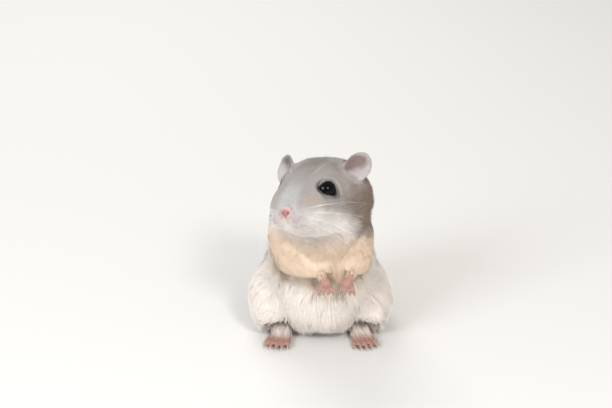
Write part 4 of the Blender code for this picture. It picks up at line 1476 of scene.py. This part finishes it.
# %% One whisker
WHISKER_RINGS, WHISKER_ROOT = 10, 0.3
WHISKER_LIFT, WHISKER_SHORTENED, MOST_TRIES = 0.25, 0.93, 20
WHISKER_END, WHISKER_MIDDLE, MIDDLE_SHARE = (0.22, 0.12), (0.03, 0.02), 0.52
BOX_MARGIN = 0.6
low = np.array(cad_box[0]) - BOX_MARGIN * MM
high = np.array(cad_box[1]) + BOX_MARGIN * MM
low[2] = MM
body_faces = face_corners[(face_corners < body_vertices).all(axis=1)].tolist()
skin_surface = BVHTree.FromPolygons(places[:body_vertices].tolist(), body_faces)


def whisker(side, place, out, back, rise, length):
    """A bent path from the skin near a place on the head, in directions of the head."""
    start, normal, _, _ = skin_surface.find_nearest(on_head(*place))
    way = head_way(side, out, -back, rise).normalized()
    way = (way + normal * WHISKER_LIFT).normalized()
    for _ in range(MOST_TRIES):
        end = start + way * length * MM
        end -= (FORWARD * WHISKER_END[0] + UP * WHISKER_END[1]) * length * MM
        middle = start + way * length * MIDDLE_SHARE * MM
        middle -= (FORWARD * WHISKER_MIDDLE[0] - UP * WHISKER_MIDDLE[1]) * length * MM
        path = bent(start - way * WHISKER_ROOT * MM, middle, end, WHISKER_RINGS)
        if (path > low).all() and (path < high).all():
            break
        length *= WHISKER_SHORTENED
    return path


# %% Whiskers
WHISKER_ROWS, WHISKER_COLUMNS, BROW_HAIRS = 4, 5, 2
WHISKER_WIDTH, BROW_HAIR_WIDTH = 0.034, 0.75
PAD_START = 1.35, 9.3, -7.0
COLUMN_OUT, COLUMN_BACK, COLUMN_RISE = 0.72, 0.62, 0.1
ROW_OUT, ROW_DOWN = 0.12, 0.68
WHISKER_OUT, WHISKER_BACK, BACK_EACH_COLUMN, WHISKER_RISE, DOWN_EACH_ROW = 0.95, -0.32, 0.3, 0.22, 0.3
WHISKER_LENGTH, LONGER_EACH_COLUMN, THICKER_EACH_COLUMN = 5.5, 2.6, 0.1
JITTER, PLACE_JITTER, RISE_JITTER = 0.12, 0.6, 0.7
FRONT_WHISKER, WHISKER_TIP = 0.8, 0.12  # shares of the width
whisker_paths, whisker_radii, pad_paths = [], [], []
thin = np.linspace(1, WHISKER_TIP, WHISKER_RINGS)
for side in (1, -1):
    for row in range(WHISKER_ROWS):
        for column in range(WHISKER_COLUMNS):
            jitter = rng.normal(0, JITTER, 5)
            out, ahead, level = PAD_START
            out = out + COLUMN_OUT * column + ROW_OUT * row + jitter[0] * PLACE_JITTER
            level = level - ROW_DOWN * row + COLUMN_RISE * column + jitter[1] * PLACE_JITTER
            place = side * out, ahead - COLUMN_BACK * column, level
            back = WHISKER_BACK + BACK_EACH_COLUMN * column + jitter[2]
            rise = WHISKER_RISE - DOWN_EACH_ROW * row + jitter[3] * RISE_JITTER
            length = (WHISKER_LENGTH + LONGER_EACH_COLUMN * column) * (1 + jitter[4])
            pad_paths.append(whisker(side, place, WHISKER_OUT, back, rise, length))
            whisker_paths.append(pad_paths[-1])
            whisker_radii.append(WHISKER_WIDTH * (FRONT_WHISKER + THICKER_EACH_COLUMN * column) * thin)
    for number in range(BROW_HAIRS):
        place = (side * (3.2 + 0.5 * number), 1.2 - 0.7 * number, 3.4)
        whisker_paths.append(whisker(side, place, 0.5, 0.5, 0.6, 4.0 + number))
        whisker_radii.append(WHISKER_WIDTH * BROW_HAIR_WIDTH * thin)
whiskers = tapered_tubes("whiskers", whisker_paths, whisker_radii)
print("whiskers", len(whisker_paths))

# %% Whisker roots
ROOT_LENGTH, ROOT_RADII = 0.3, 0.075 * np.array([1.0, 1.0, 0.8, 0.25])
root_paths = []
for path in pad_paths:
    heading = (path[1] - path[0]) / np.linalg.norm(path[1] - path[0])
    steps = np.linspace(0, 1, len(ROOT_RADII))
    root_paths.append(path[0] + np.outer(steps, heading) * (WHISKER_ROOT + ROOT_LENGTH) * MM)
whisker_roots = tapered_tubes("whisker_roots", root_paths, [ROOT_RADII] * len(root_paths))
print("whisker roots", len(root_paths))

# %% Finish of claws and whiskers
HORN_GLOSS = 0.5


def grained(piece, name, roughness, scale, dark, pale, **constants):
    """Gives a piece a finish between two colours, mixed by fine grain."""
    material, surface, start = new_material(name, roughness, **constants)
    where = start.node("ShaderNodeTexCoord", None, "Object")
    grain = start.node("ShaderNodeTexNoise", {}, 0, Vector=where, Scale=scale)
    connect(grain.rises(0.3, 0.7).blend(tone(*dark), tone(*pale)), surface, "Base Color")
    piece.data.materials.append(material)
    print(name, "on", piece.name)


grained(claws, "pale_horn", 0.35, 900.0, (196, 170, 152), (226, 206, 190), Specular_IOR_Level=HORN_GLOSS)
grained(whiskers, "white_whisker", 0.4, 500.0, (232, 228, 224), (250, 248, 246))
grained(whisker_roots, "dark_whisker_root", 0.6, 900.0, (126, 112, 118), (160, 145, 151))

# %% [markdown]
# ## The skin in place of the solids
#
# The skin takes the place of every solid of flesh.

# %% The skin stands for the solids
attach(skin, "root")
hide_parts(*[name for name in nodes if not name.startswith("eye")])
